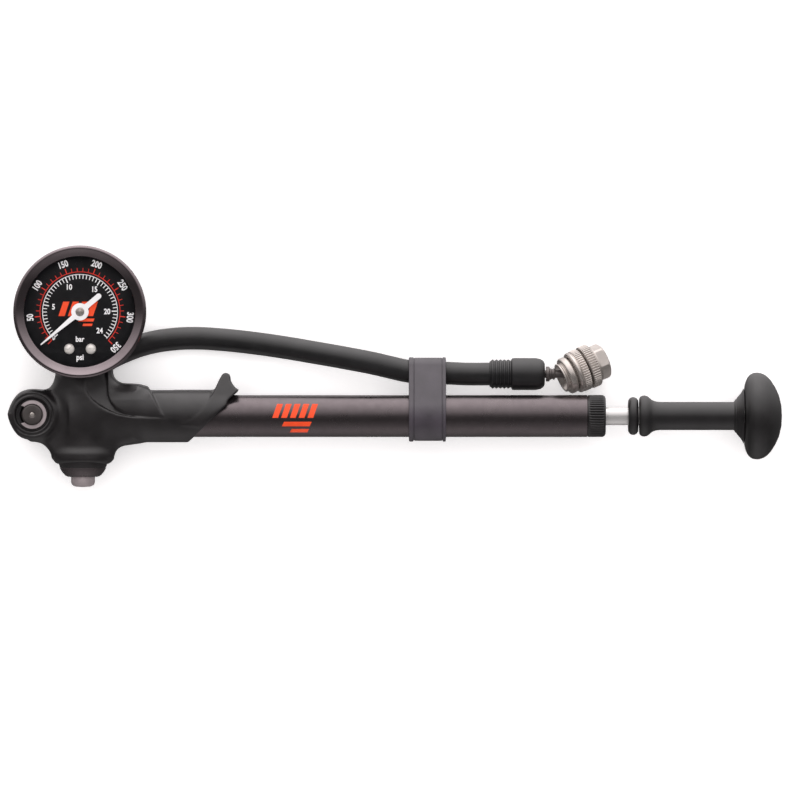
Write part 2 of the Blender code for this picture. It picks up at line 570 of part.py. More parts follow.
def smooth_route(points, spacing):
    """Evenly spaced points on a smooth curve through the given points."""
    dense = []
    ends = [points[0] * 2 - points[1]] + points + [points[-1] * 2 - points[-2]]
    for i in range(1, len(ends) - 2):
        p0, p1, p2, p3 = ends[i - 1:i + 3]
        for k in range(16):
            t = k / 16
            dense.append(0.5 * ((2 * p1) + (p2 - p0) * t + (2 * p0 - 5 * p1 + 4 * p2 - p3) * t * t +
                                (3 * p1 - p0 - 3 * p2 + p3) * t ** 3))
    dense.append(points[-1])
    lengths = [0.0]
    for a, b in zip(dense, dense[1:]):
        lengths.append(lengths[-1] + (b - a).length)
    count = round(lengths[-1] / spacing)
    route, k = [], 0
    for i in range(count + 1):
        target = lengths[-1] * i / count
        while k < len(lengths) - 2 and lengths[k + 1] < target:
            k += 1
        share = (target - lengths[k]) / (lengths[k + 1] - lengths[k])
        route.append(dense[k].lerp(dense[k + 1], share))
    return route


def make_hose():
    tube("hose", BLACK_RUBBER, smooth_route(hose_points(), 7.0), HOSE_R, 2)
    rings = []
    for i in range(3):
        start = BOOT_X + 0.9 + i * 1.9
        rings += [(4.9, start), (4.9, start + 1.2), (4.3, start + 1.25), (4.3, start + 1.85)]
    outer = [(4.3, BOOT_X)] + rings + [(5.35, 143.0), (5.35, 151.6), (4.8, 153.0), (3.4, 154.0)]
    turned("hose_boot", BLACK_RUBBER, [(1.6, 154.0)] + outer[::-1] + [(0, BOOT_X), (0, 150.0), (1.6, 150.0)],
           (0, BOOT_Y, HOSE_TIP_Z), AXIS_X, 16)


def make_strap():
    """A rubber band round the barrel and the hose, seen along the barrel."""
    hose = Vector((STRAP_HOSE_Y, HOSE_TIP_Z))

    def hull(barrel_r, hose_r):
        reach = hose.length
        lean = math.degrees(math.atan2(hose.y, hose.x))
        spread = math.degrees(math.acos((barrel_r - hose_r) / reach))
        points = arc((0, 0), barrel_r, lean + spread, lean + 360 - spread, 20)
        return points + arc(tuple(hose), hose_r, lean - spread, lean + spread, 12)

    middle = (STRAP_X0 + STRAP_X1) / 2
    strap = plate("hose_strap", STRAP_RUBBER, [hull(BARREL_R + 1.55, HOSE_R + 1.2),
                                               hull(BARREL_R + GAP, HOSE_R + 0.5)[::-1]],
                  (STRAP_X1 - STRAP_X0) / 2, (middle, 0, 0))
    # local x, y of the outline run along the pump's Y and Z
    turn = Matrix(((0, 0, 1), (1, 0, 0), (0, 1, 0)))
    strap.rotation_quaternion = turn.to_quaternion()


# ---------------------------------------------------------------- valve chuck

def chuck_axis():
    yawed = Matrix.Rotation(CHUCK_YAW, 3, "Y") @ AXIS_X
    return Matrix.Rotation(CHUCK_TILT, 3, "Z") @ yawed


def ball_arc(radius, low, high, count):
    """Profile points of a sphere about the origin, from height low up to high."""
    points = []
    for i in range(count + 1):
        height = low + (high - low) * i / count
        points.append((math.sqrt(radius * radius - height * height), height))
    return points


def make_nipple():
    """Barb in the boot, collar, neck and the ball that the chuck swivels on."""
    neck_r = 1.3
    neck_top = -math.sqrt(BALL_R ** 2 - neck_r ** 2)
    ball = ball_arc(BALL_R, neck_top, 2.3, 8)[::-1]
    start = 150.3 - PIVOT.x
    turned("chuck_nipple", NICKEL,
           [(0, 2.3)] + ball + [(neck_r, -5.2), (1.9, -5.6), (1.9, -7.0), (2.5, -7.2), (2.5, -8.3), (1.3, -8.3),
                                (1.3, start), (0, start)], PIVOT, AXIS_X, 14)


def make_chuck():
    axis = chuck_axis()
    liner_outside = ball_arc(LINER_R, -1.5, 2.2, 6)[::-1]
    turned("ball_liner", POLYMER, liner_outside + ball_arc(LINER_BORE_R, -1.5, 2.2, 6), PIVOT, axis, 16)
    bore_r = 1.4
    cavity = ball_arc(CAVITY_R, -2.0, math.sqrt(CAVITY_R ** 2 - bore_r ** 2), 9)
    turned("chuck_body", NICKEL, [(3.0, 6.8), (3.0, 5.0), (5.2, 5.0), (5.2, 0.3), (5.9, 0.1), (6.25, -0.7),
                                  (6.25, -1.9), (5.9, -2.3), (4.6, -2.5), (4.6, -2.9), (4.95, -3.1), (4.95, -3.7),
                                  (4.2, -3.7)] + cavity + [(bore_r, 6.8)], PIVOT, axis, 18)
    turned("chuck_rear_ring", NICKEL, [(6.9, 4.7), (7.15, 4.4), (7.15, 0.9), (6.9, 0.6), (5.5, 0.6), (5.5, 4.7)],
           PIVOT, axis, 20)
    turned("chuck_front_collar", NICKEL,
           [(4.9, 12.7), (5.6, 12.2), (5.6, 10.9), (5.2, 10.5), (5.2, 9.3), (6.4, 8.3), (7.3, 8.3), (7.5, 8.0),
            (7.5, 5.6), (7.3, 5.3), (3.3, 5.3), (3.3, 7.2), (4.05, 7.2), (4.05, 12.7)], PIVOT, axis, 20)
    turned("valve_seal", BLACK_RUBBER, [(3.75, 8.7), (3.75, 7.5), (1.3, 7.5), (1.3, 8.7)], PIVOT, axis, 16)
    turned("depressor_pin", BRASS, [(0, 9.6), (0.9, 9.6), (0.9, 9.0), (0.8, 9.0), (0.8, 3.7), (0, 3.7)],
           PIVOT, axis, 8)


def main():
    make_head()
    make_barrel()
    make_check_valve()
    make_bleed_valve()
    make_piston_group()
    make_handle()
    make_gauge_shell()
    make_gauge_socket()
    make_movement()
    make_pointer()
    make_swivel()
    make_hose()
    make_strap()
    make_nipple()
    make_chuck()


main()
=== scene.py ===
"""Shock suspension pump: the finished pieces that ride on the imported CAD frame.

Shapes are drawn in a design frame in millimetres, whose origin is where the
gauge's axis meets the barrel's: +X towards the handle, +Y towards the gauge and
+Z out of the dial.  at() turns such a point into the shared frame in metres.
"""
import math

import bmesh
import bpy
import numpy as np
from bpy.props import FloatProperty, FloatVectorProperty, IntProperty, PointerProperty
from mathutils import Matrix, Vector


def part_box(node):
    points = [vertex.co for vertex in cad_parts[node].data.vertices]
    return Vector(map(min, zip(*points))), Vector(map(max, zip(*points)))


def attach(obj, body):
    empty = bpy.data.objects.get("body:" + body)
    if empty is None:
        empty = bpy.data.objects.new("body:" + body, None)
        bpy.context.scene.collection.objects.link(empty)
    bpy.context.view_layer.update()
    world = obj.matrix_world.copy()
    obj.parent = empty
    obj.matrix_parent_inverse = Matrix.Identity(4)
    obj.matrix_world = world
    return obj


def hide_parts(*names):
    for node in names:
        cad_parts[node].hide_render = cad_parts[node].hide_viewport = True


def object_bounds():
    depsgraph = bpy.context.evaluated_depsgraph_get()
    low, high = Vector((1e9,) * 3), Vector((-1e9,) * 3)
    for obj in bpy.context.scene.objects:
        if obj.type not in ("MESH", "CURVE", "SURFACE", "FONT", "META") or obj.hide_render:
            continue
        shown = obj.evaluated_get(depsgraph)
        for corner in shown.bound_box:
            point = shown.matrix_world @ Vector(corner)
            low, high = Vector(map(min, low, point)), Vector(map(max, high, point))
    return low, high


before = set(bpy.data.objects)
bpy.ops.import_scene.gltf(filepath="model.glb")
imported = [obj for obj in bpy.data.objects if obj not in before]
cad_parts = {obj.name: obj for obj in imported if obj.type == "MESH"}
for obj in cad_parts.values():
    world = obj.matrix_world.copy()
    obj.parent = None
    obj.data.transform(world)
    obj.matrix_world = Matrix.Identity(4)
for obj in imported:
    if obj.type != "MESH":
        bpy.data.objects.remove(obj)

bl_info = {
    "name": "Shock suspension pump",
    "version": (1, 0, 0),
    "blender": (4, 5, 0),
    "location": "View3D > Sidebar > Shock pump",
    "description": "Builds the finished pieces of a shock suspension pump on its CAD frame",
    "category": "Object",
}

CAD_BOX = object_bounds()

MM = 0.001
BARREL_START = 12.5           # mm from the gauge's axis to the barrel's first face
BARREL_LOW, BARREL_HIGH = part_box("barrel")
ORIGIN = Vector((BARREL_LOW.x - BARREL_START * MM, (BARREL_LOW.y + BARREL_HIGH.y) / 2,
                 (BARREL_LOW.z + BARREL_HIGH.z) / 2))
AXIS_X, AXIS_Y, AXIS_Z = Vector((1, 0, 0)), Vector((0, 1, 0)), Vector((0, 0, 1))

BARREL_R = 7.0
BOSS = (-16.7, 0.5)           # centre of the hose swivel's boss
BOSS_R = 8.2
SLEEVE_R = 8.7
GAUGE = (-0.6, 34.6)          # centre of the gauge
DIAL_TOP = 10.6
POINTER_ANGLE = 220.0         # degrees from +X at which the pointer rests
SWIVEL_HEADING = math.radians(36.0)
HOSE_BACK_Z = -12.4           # the hose's middle behind the gauge
PIVOT = Vector((162.7, 14.0, -4.0))                  # centre of the chuck's ball
CHUCK_AXIS = Matrix.Rotation(math.radians(23.0), 3, "Z") @ Matrix.Rotation(math.radians(14.0), 3, "Y") @ AXIS_X


def at(x, y, z):
    """A point of the design frame, in metres in the shared frame."""
    return ORIGIN + Vector((x, y, z)) * MM


# ---------------------------------------------------------------- settings

def colour_setting(name, description, default):
    return FloatVectorProperty(name=name, description=description, default=default, subtype="COLOR", size=3, min=0.0,
                               max=1.0)


class PumpSizes(bpy.types.PropertyGroup):
    """Sizes that change the look and leave every joint where it is."""

    hose_diameter: FloatProperty(name="Hose diameter", description="Outside diameter of the hose", default=0.0076,
                                 unit="LENGTH")
    hose_length: FloatProperty(name="Hose length", description="Length of the hose from the crimp to the boot",
                               default=0.147, unit="LENGTH")
    casting_cell: FloatProperty(name="Casting cell", description="Size of the mesh cells of the moulded head",
                                default=0.0004, unit="LENGTH")
    print_height: FloatProperty(name="Print height", description="How far printed marks stand out of their surface",
                                default=0.00006, unit="LENGTH")
    cap_ribs: IntProperty(name="End cap ribs", description="Straight ribs round the barrel's end cap", default=48)
    ring_ribs: IntProperty(name="Chuck ribs", description="Straight ribs round each chuck ring", default=52)
    psi_numeral: FloatProperty(name="Outer numerals", description="Height of the outer scale's numerals",
                               default=0.0021, unit="LENGTH")
    bar_numeral: FloatProperty(name="Inner numerals", description="Height of the inner scale's numerals",
                               default=0.00185, unit="LENGTH")


class PumpColours(bpy.types.PropertyGroup):
    """Base colours of the finishes."""

    casting: colour_setting("Casting", "Moulded head", (0.009, 0.008, 0.0085))
    # the anodised colour also makes the bleed bowl's lighter ring, a painted highlight
    anodised: colour_setting("Anodising", "Barrel tube", (0.175, 0.152, 0.158))
    gauge: colour_setting("Gauge shell", "Gauge case and bleed bowl", (0.013, 0.012, 0.0125))
    bezel: colour_setting("Bezel", "Gauge bezel", (0.28, 0.238, 0.25))
    handle: colour_setting("Handle", "Grip and knob", (0.009, 0.0085, 0.009))
    hose: colour_setting("Hose", "Hose and boot rubber", (0.0065, 0.0065, 0.007))
    strap: colour_setting("Strap", "Strap rubber", (0.043, 0.036, 0.046))
    nickel: colour_setting("Nickel", "Plated chuck", (0.68, 0.63, 0.59))
    bright_nickel: colour_setting("Bright nickel", "Dial screws", (0.9, 0.87, 0.83))
    satin_nickel: colour_setting("Satin nickel", "Clip and bleed button", (0.48, 0.42, 0.43))
    gunmetal: colour_setting("Gunmetal", "Darkened steel nipple", (0.16, 0.145, 0.14))
    steel: colour_setting("Steel", "Polished rod", (0.82, 0.81, 0.80))
    brass: colour_setting("Brass", "Inner brass pieces", (0.72, 0.52, 0.24))
    polymer: colour_setting("Polymer", "Bearing pieces", (0.78, 0.76, 0.68))
    seal: colour_setting("Seals", "Seals and bumpers", (0.013, 0.013, 0.013))
    dial: colour_setting("Dial", "Dial face", (0.006, 0.006, 0.007))
    print_white: colour_setting("White print", "Numerals, inner scale and pointer", (0.83, 0.83, 0.84))
    print_red: colour_setting("Red print", "Outer scale", (0.72, 0.045, 0.03))
    mark: colour_setting("Mark", "Slanted bars on barrel and dial", (0.84, 0.075, 0.02))
    floor: colour_setting("Floor", "Studio floor", (0.93, 0.93, 0.93))


# ---------------------------------------------------------------- finishes

# per finish: metallic, specular level, roughness low and high, colour spread, grain per metre, bump in metres,
# lighter edges
FINISHES = {
    "casting": (0.0, 0.9, 0.3, 0.42, 0.3, 2600, 0.00003, 0.1),
    "anodised": (0.97, 0.5, 0.26, 0.32, 0.06, 5000, 0.000003, 0.0),
    "gauge": (0.0, 0.8, 0.22, 0.32, 0.3, 1800, 0.000012, 0.15),
    "bezel": (1.0, 0.5, 0.15, 0.22, 0.08, 1800, 0.00001, 0.0),
    "handle": (0.0, 0.9, 0.3, 0.42, 0.3, 2200, 0.000018, 0.15),
    "hose": (0.0, 1.0, 0.34, 0.46, 0.3, 2600, 0.00003, 0.1),
    "strap": (0.0, 1.0, 0.4, 0.5, 0.22, 2000, 0.00003, 0.15),
    "nickel": (0.85, 0.5, 0.22, 0.36, 0.14, 1500, 0.000008, 0.2),
    "gunmetal": (0.85, 0.5, 0.24, 0.38, 0.25, 1500, 0.000008, 0.3),
    "steel": (0.72, 0.5, 0.2, 0.26, 0.04, 2400, 0.000003, 0.0),
    "bright_nickel": (0.4, 0.5, 0.16, 0.26, 0.06, 2500, 0.000004, 0.0),
    "satin_nickel": (0.55, 0.5, 0.36, 0.5, 0.14, 1500, 0.000008, 0.2),
    "brass": (1.0, 0.5, 0.22, 0.4, 0.2, 2000, 0.00001, 0.2),
    "polymer": (0.0, 0.5, 0.4, 0.55, 0.12, 1800, 0.00001, 0.0),
    "seal": (0.0, 0.5, 0.45, 0.6, 0.3, 2400, 0.00002, 0.1),
    "dial": (0.0, 0.3, 0.45, 0.6, 0.3, 3000, 0.00001, 0.0),
    "print_white": (0.0, 0.3, 0.4, 0.55, 0.06, 2500, 0.000006, 0.0),
    "print_red": (0.0, 0.3, 0.4, 0.55, 0.14, 2500, 0.000006, 0.0),
    "mark": (0.0, 0.4, 0.35, 0.5, 0.12, 2500, 0.000006, 0.0),
    "floor": (0.0, 0.3, 0.55, 0.75, 0.02, 60, 0.00002, 0.0),
}
DRAWN_GRAIN = {"steel": (1, 1, 0.05)}         # how the grain is squeezed along each local axis
NOISE_LOW, NOISE_HIGH = 0.3, 0.7              # the noise values between which a finish varies
MOTTLE_SIZE, GLOSS_SIZE = 12, 30              # how many grains a patch of colour or of gloss is across
EDGE_START, EDGE_FULL = 0.53, 0.68            # pointiness at which an edge starts to lighten and is lightest


def finish(name):
    """The procedural material of that name: mottled colour, uneven gloss, fine grain and, on some, lighter edges."""
    found = bpy.data.materials.get("finish_" + name)
    if found:
        return found
    metallic, specular, rough_low, rough_high, spread, grain, bump, wear = FINISHES[name]
    colour = Vector(getattr(bpy.context.scene.pump_colours, name))
    material = bpy.data.materials.new("finish_" + name)
    material.use_nodes = True
    nodes, links = material.node_tree.nodes, material.node_tree.links
    shader = nodes["Principled BSDF"]
    shader.inputs["Metallic"].default_value = metallic
    shader.inputs["Specular IOR Level"].default_value = specular
    place = nodes.new("ShaderNodeTexCoord")
    mapping = nodes.new("ShaderNodeMapping")
    mapping.inputs["Scale"].default_value = DRAWN_GRAIN.get(name, (1, 1, 1))
    links.new(place.outputs["Object"], mapping.inputs["Vector"])

    def noise(scale, detail):
        node = nodes.new("ShaderNodeTexNoise")
        node.inputs["Scale"].default_value = scale
        node.inputs["Detail"].default_value = detail
        links.new(mapping.outputs["Vector"], node.inputs["Vector"])
        return node.outputs["Fac"]

    mottle = nodes.new("ShaderNodeValToRGB")
    mottle.color_ramp.elements[0].position = NOISE_LOW
    mottle.color_ramp.elements[1].position = NOISE_HIGH
    for element, share in zip(mottle.color_ramp.elements, (1 - spread, 1 + spread)):
        element.color = (*[min(1.0, c * share) for c in colour], 1)
    links.new(noise(grain / MOTTLE_SIZE, 6), mottle.inputs["Fac"])
    shade = mottle.outputs["Color"]
    if wear:
        edge = nodes.new("ShaderNodeNewGeometry")
        where = nodes.new("ShaderNodeMapRange")
        where.inputs["From Min"].default_value = EDGE_START
        where.inputs["From Max"].default_value = EDGE_FULL
        where.inputs["To Max"].default_value = wear
        links.new(edge.outputs["Pointiness"], where.inputs["Value"])
        worn = nodes.new("ShaderNodeMix")
        worn.data_type = "RGBA"
        worn.inputs[7].default_value = (*[min(1.0, c * 2.2 + 0.03) for c in colour], 1)
        links.new(where.outputs["Result"], worn.inputs[0])
        links.new(shade, worn.inputs[6])
        shade = worn.outputs[2]
    links.new(shade, shader.inputs["Base Color"])
    gloss = nodes.new("ShaderNodeMapRange")
    gloss.inputs["From Min"].default_value = NOISE_LOW
    gloss.inputs["From Max"].default_value = NOISE_HIGH
    gloss.inputs["To Min"].default_value = rough_low
    gloss.inputs["To Max"].default_value = rough_high
    links.new(noise(grain / GLOSS_SIZE, 4), gloss.inputs["Value"])
    links.new(gloss.outputs["Result"], shader.inputs["Roughness"])
    relief = nodes.new("ShaderNodeBump")
    relief.inputs["Strength"].default_value = 0.6
    relief.inputs["Distance"].default_value = bump
    links.new(noise(grain, 3), relief.inputs["Height"])
    links.new(relief.outputs["Normal"], shader.inputs["Normal"])
    return material


def lens_finish():
    """Clear glass: what is behind shows, and its gloss grows towards grazing angles."""
    material = bpy.data.materials.new("finish_lens")
    material.use_nodes = True
    nodes, links = material.node_tree.nodes, material.node_tree.links
    nodes.remove(nodes["Principled BSDF"])
    clear = nodes.new("ShaderNodeBsdfTransparent")
    gloss = nodes.new("ShaderNodeBsdfGlossy")
    gloss.inputs["Roughness"].default_value = 0.03
    mix = nodes.new("ShaderNodeMixShader")
    edge = nodes.new("ShaderNodeLayerWeight")
    edge.inputs["Blend"].default_value = 0.1
    place = nodes.new("ShaderNodeTexCoord")
    smear = nodes.new("ShaderNodeTexNoise")
    smear.inputs["Scale"].default_value = 90
    relief = nodes.new("ShaderNodeBump")
    relief.inputs["Strength"].default_value = 0.15
    relief.inputs["Distance"].default_value = 0.00002
    links.new(place.outputs["Object"], smear.inputs["Vector"])
    links.new(smear.outputs["Fac"], relief.inputs["Height"])
    links.new(relief.outputs["Normal"], gloss.inputs["Normal"])
    links.new(edge.outputs["Facing"], mix.inputs["Fac"])
    links.new(clear.outputs["BSDF"], mix.inputs[1])
    links.new(gloss.outputs["BSDF"], mix.inputs[2])
    links.new(mix.outputs["Shader"], nodes["Material Output"].inputs["Surface"])
    return material


# ---------------------------------------------------------------- shapes

CREASE = 38.0                 # degrees between two faces from which their edge stays crisp
STRAIGHT = math.radians(14)   # a profile that turns by less has no corner to round


def add_piece(name, mesh, look, body="root", replaces=(), origin=(0, 0, 0), axis=AXIS_Z, roll=0.0):
    """Put a mesh in place with local Z along the axis, and let it ride on a body."""
    turn = Matrix.Identity(3) if axis == AXIS_Z else Vector(axis).to_track_quat("Z", "Y").to_matrix()
    obj = bpy.data.objects.new(name, mesh)
    bpy.context.scene.collection.objects.link(obj)
    mesh.materials.clear()
    mesh.materials.append(look)
    obj.matrix_world = Matrix.Translation(at(*origin)) @ (turn @ Matrix.Rotation(roll, 3, "Z")).to_4x4()
    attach(obj, body)
    if replaces:
        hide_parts(*replaces)
    return obj


def to_mesh(name, shape, sharp=CREASE):
    """A smooth-shaded mesh from a bmesh in millimetres; edges over the sharp angle stay crisp."""
    bmesh.ops.recalc_face_normals(shape, faces=shape.faces)
    bmesh.ops.scale(shape, vec=(MM, MM, MM), verts=shape.verts)
    mesh = bpy.data.meshes.new(name)
    shape.to_mesh(mesh)
    shape.free()
    mesh.shade_smooth()
    mesh.set_sharp_from_angle(angle=math.radians(sharp))
    return mesh


def soften(profile, radius, closed, steps=4):
    """The profile with each corner rounded by up to the radius."""
    count = len(profile)
    points = []
    for i, corner in enumerate(profile):
        if not closed and i in (0, count - 1):
            points.append(Vector(corner))
            continue
        here = Vector(corner)
        before = Vector(profile[i - 1]) - here
        after = Vector(profile[(i + 1) % count]) - here
        if before.angle(-after, 0.0) < STRAIGHT:
            points.append(here)
            continue
        start = here + before.normalized() * min(radius, before.length * 0.42)
        end = here + after.normalized() * min(radius, after.length * 0.42)
        for k in range(steps + 1):
            t = k / steps
            points.append(start * (1 - t) ** 2 + here * 2 * t * (1 - t) + end * t * t)
    return points


def lathe(profile, soft, steps, warp=None):
    """Turn (radius, height) points about Z.  warp(radius, height, angle) may reshape the radius."""
    closed = profile[0][0] > 0 or profile[-1][0] > 0
    points = soften(profile, soft, closed)
    shape = bmesh.new()
    rings = []
    for radius, height in points:
        if radius < 1e-6:
            rings.append([shape.verts.new((0, 0, height))])
            continue
        ring = []
        for k in range(steps):
            angle = 2 * math.pi * k / steps
            r = warp(radius, height, angle) if warp else radius
            ring.append(shape.verts.new((r * math.cos(angle), r * math.sin(angle), height)))
        rings.append(ring)
    pairs = list(zip(rings, rings[1:]))
    if closed:
        pairs.append((rings[-1], rings[0]))
    for a, b in pairs:
        for k in range(steps):
            n = (k + 1) % steps
            corners = [a[k % len(a)], a[n % len(a)], b[n % len(b)], b[k % len(b)]]
            unique = list(dict.fromkeys(corners))
            if len(unique) > 2:
                shape.faces.new(unique)
    return shape


def turned(name, profile, soft, steps, look, body="root", replaces=(), origin=(0, 0, 0), axis=AXIS_Z,
           warp=None, sharp=CREASE):
    """A piece turned from its profile about the axis."""
    mesh = to_mesh(name, lathe(profile, soft, steps, warp), sharp)
    return add_piece(name, mesh, finish(look), body, replaces, origin, axis)


RIB_STEPS = 8                 # mesh steps round each rib


def ribs(count, depth, low, high, base):
    """A warp that cuts straight round-bottomed grooves between two heights, outside a base radius."""
    def warp(radius, height, angle):
        if radius < base or not low <= height <= high:
            return radius
        wave = 0.5 + 0.5 * math.cos(count * angle)
        return radius - depth * (1 - min(1.0, wave * 1.6))
    return warp


def arc(centre, radius, start_deg, end_deg, count):
    """Points on an arc, ends included."""
    turns = [math.radians(start_deg + (end_deg - start_deg) * i / count) for i in range(count + 1)]
    return [(centre[0] + radius * math.cos(a), centre[1] + radius * math.sin(a)) for a in turns]


def mesh_from_curve(curve):
    """The mesh of a curve or text data block, welded."""
    holder = bpy.data.objects.new("holder", curve)
    bpy.context.scene.collection.objects.link(holder)
    bpy.context.view_layer.update()
    mesh = bpy.data.meshes.new_from_object(holder.evaluated_get(bpy.context.evaluated_depsgraph_get()))
    bpy.data.objects.remove(holder)
    return mesh


def plate(name, outlines, half_thickness, soft=0.1):
    """A flat outline in millimetres, with holes as further outlines, thickened both ways with softened rims."""
    curve = bpy.data.curves.new(name, "CURVE")
    curve.dimensions = "2D"
    curve.fill_mode = "BOTH"
    curve.extrude = (half_thickness - soft) * MM
    curve.bevel_depth = soft * MM
    curve.bevel_resolution = 2
    curve.offset = -soft * MM
    for outline in outlines:
        spline = curve.splines.new("POLY")
        spline.points.add(len(outline) - 1)
        for point, (x, y) in zip(spline.points, outline):
            point.co = (x * MM, y * MM, 0, 1)
        spline.use_cyclic_u = True
    mesh = mesh_from_curve(curve)
    shape = bmesh.new()
    shape.from_mesh(mesh)
    bmesh.ops.remove_doubles(shape, verts=shape.verts, dist=0.000001)
    bmesh.ops.recalc_face_normals(shape, faces=shape.faces)
    shape.to_mesh(mesh)
    shape.free()
    mesh.shade_smooth()
    mesh.set_sharp_from_angle(angle=math.radians(CREASE))
    return mesh


def slab(shape, corners, low, high):
    """A thin prism over counter-clockwise corners."""
    under = [shape.verts.new((x, y, low)) for x, y in corners]
    over = [shape.verts.new((x, y, high)) for x, y in corners]
    shape.faces.new(over)
    shape.faces.new(under[::-1])
    for k in range(len(corners)):
        n = (k + 1) % len(corners)
        shape.faces.new((under[k], under[n], over[n], over[k]))


def polar(radius, degrees):
    return radius * math.cos(math.radians(degrees)), radius * math.sin(math.radians(degrees))


# ---------------------------------------------------------------- moulded head

def head_outline():
    """Front outline of the head's flat web, counter-clockwise from the neck's left."""
    points = [(-7.2, 17.5), (-7.6, 13.8)]
    points += arc((-15.6, 15.2), 7.4, -12, -88, 10)
    points += arc(BOSS, 7.2, 92, 266, 16)
    points += arc((-17.8, -16.0), 8.1, 84, 16, 10)
    points += [(-9.6, -13.8), (-8.4, -14.5), (8.4, -14.5), (9.4, -14.1)]
    points += arc((16.2, -14.8), 6.3, 172, 100, 10)
    points += [(18.0, -7.6), (18.0, 8.4), (15.8, 8.7)]
    points += arc((15.2, 16.6), 7.9, 268, 200, 10)
    points.append((7.4, 17.5))
    return points


def leaf_outline():
    """Side outline of the cradle leaf that curls up from the sleeve's end."""
    points = [(33.0, -3.0), (36.6, -1.2), (39.6, 1.4), (41.7, 4.4), (43.3, 7.4), (44.4, 9.8), (45.5, 12.2)]
    points += arc((47.6, 12.9), 1.5, 150, 10, 8)
    points += [(49.25, 11.8), (49.9, 10.5), (50.8, 9.5), (51.8, 8.8), (51.5, 8.1), (50.2, 6.9), (48.0, 4.9),
               (45.5, 2.4), (43.3, 0.4), (39.0, -3.7)]
    return points[::-1]


def smooth_union(a, b, width):
    share = np.clip(0.5 + 0.5 * (b - a) / width, 0, 1)
    return b * (1 - share) + a * share - width * share * (1 - share)


def smooth_common(a, b, width):
    return -smooth_union(-a, -b, width)


def bar_distance(points, axis, centre, radius, low, high, soft):
    """Distance to a round bar along one of the axes, with softened rims."""
    others = [i for i in range(3) if i != axis]
    radial = np.hypot(points[:, others[0]] - centre[0], points[:, others[1]] - centre[1]) - (radius - soft)
    along = np.abs(points[:, axis] - (low + high) / 2) - ((high - low) / 2 - soft)
    return np.minimum(np.maximum(radial, along), 0) + np.hypot(np.maximum(radial, 0), np.maximum(along, 0)) - soft


def outline_distance(x, y, outline):
    """Distance in the plane to a closed outline, negative inside."""
    best = np.full(x.shape, 1e9)
    inside = np.zeros(x.shape, bool)
    for (ax, ay), (bx, by) in zip(outline, outline[1:] + outline[:1]):
        ex, ey = bx - ax, by - ay
        t = np.clip(((x - ax) * ex + (y - ay) * ey) / (ex * ex + ey * ey), 0, 1)
        best = np.minimum(best, np.hypot(x - ax - t * ex, y - ay - t * ey))
        if ay != by:
            inside ^= ((ay > y) != (by > y)) & (x < ax + (y - ay) / (by - ay) * ex)
    return np.where(inside, -best, best)


def thickened(flat, z, half, soft):
    """An outline made solid both ways, from its distance in the plane."""
    side, along = flat + soft, np.abs(z) - (half - soft)
    return np.minimum(np.maximum(side, along), 0) + np.hypot(np.maximum(side, 0), np.maximum(along, 0)) - soft


def half_plane(points, through, degrees):
    """Distance from a sloping line seen from the front, positive on its right."""
    angle = math.radians(degrees - 90)
    return (points[:, 0] - through[0]) * math.cos(angle) + (points[:, 1] - through[1]) * math.sin(angle)


SADDLE_RIDGE = [(8.3, 16.0), (8.3, 10.0), (8.6, 7.0), (9.5, 4.6), (11.2, 2.5), (14.0, 0.9), (18.0, 0.2), (30.0, -0.2),
                (30.0, 14.0), (14.0, 16.0)]
SWOOP_RIDGE = [(1.2, 16.0), (1.3, 9.6), (2.0, 7.4), (3.6, 5.5), (6.0, 3.6), (9.0, 1.9), (12.0, 0.7), (16.0, -0.1),
               (30.0, -0.5), (30.0, 14.0), (14.0, 16.0)]


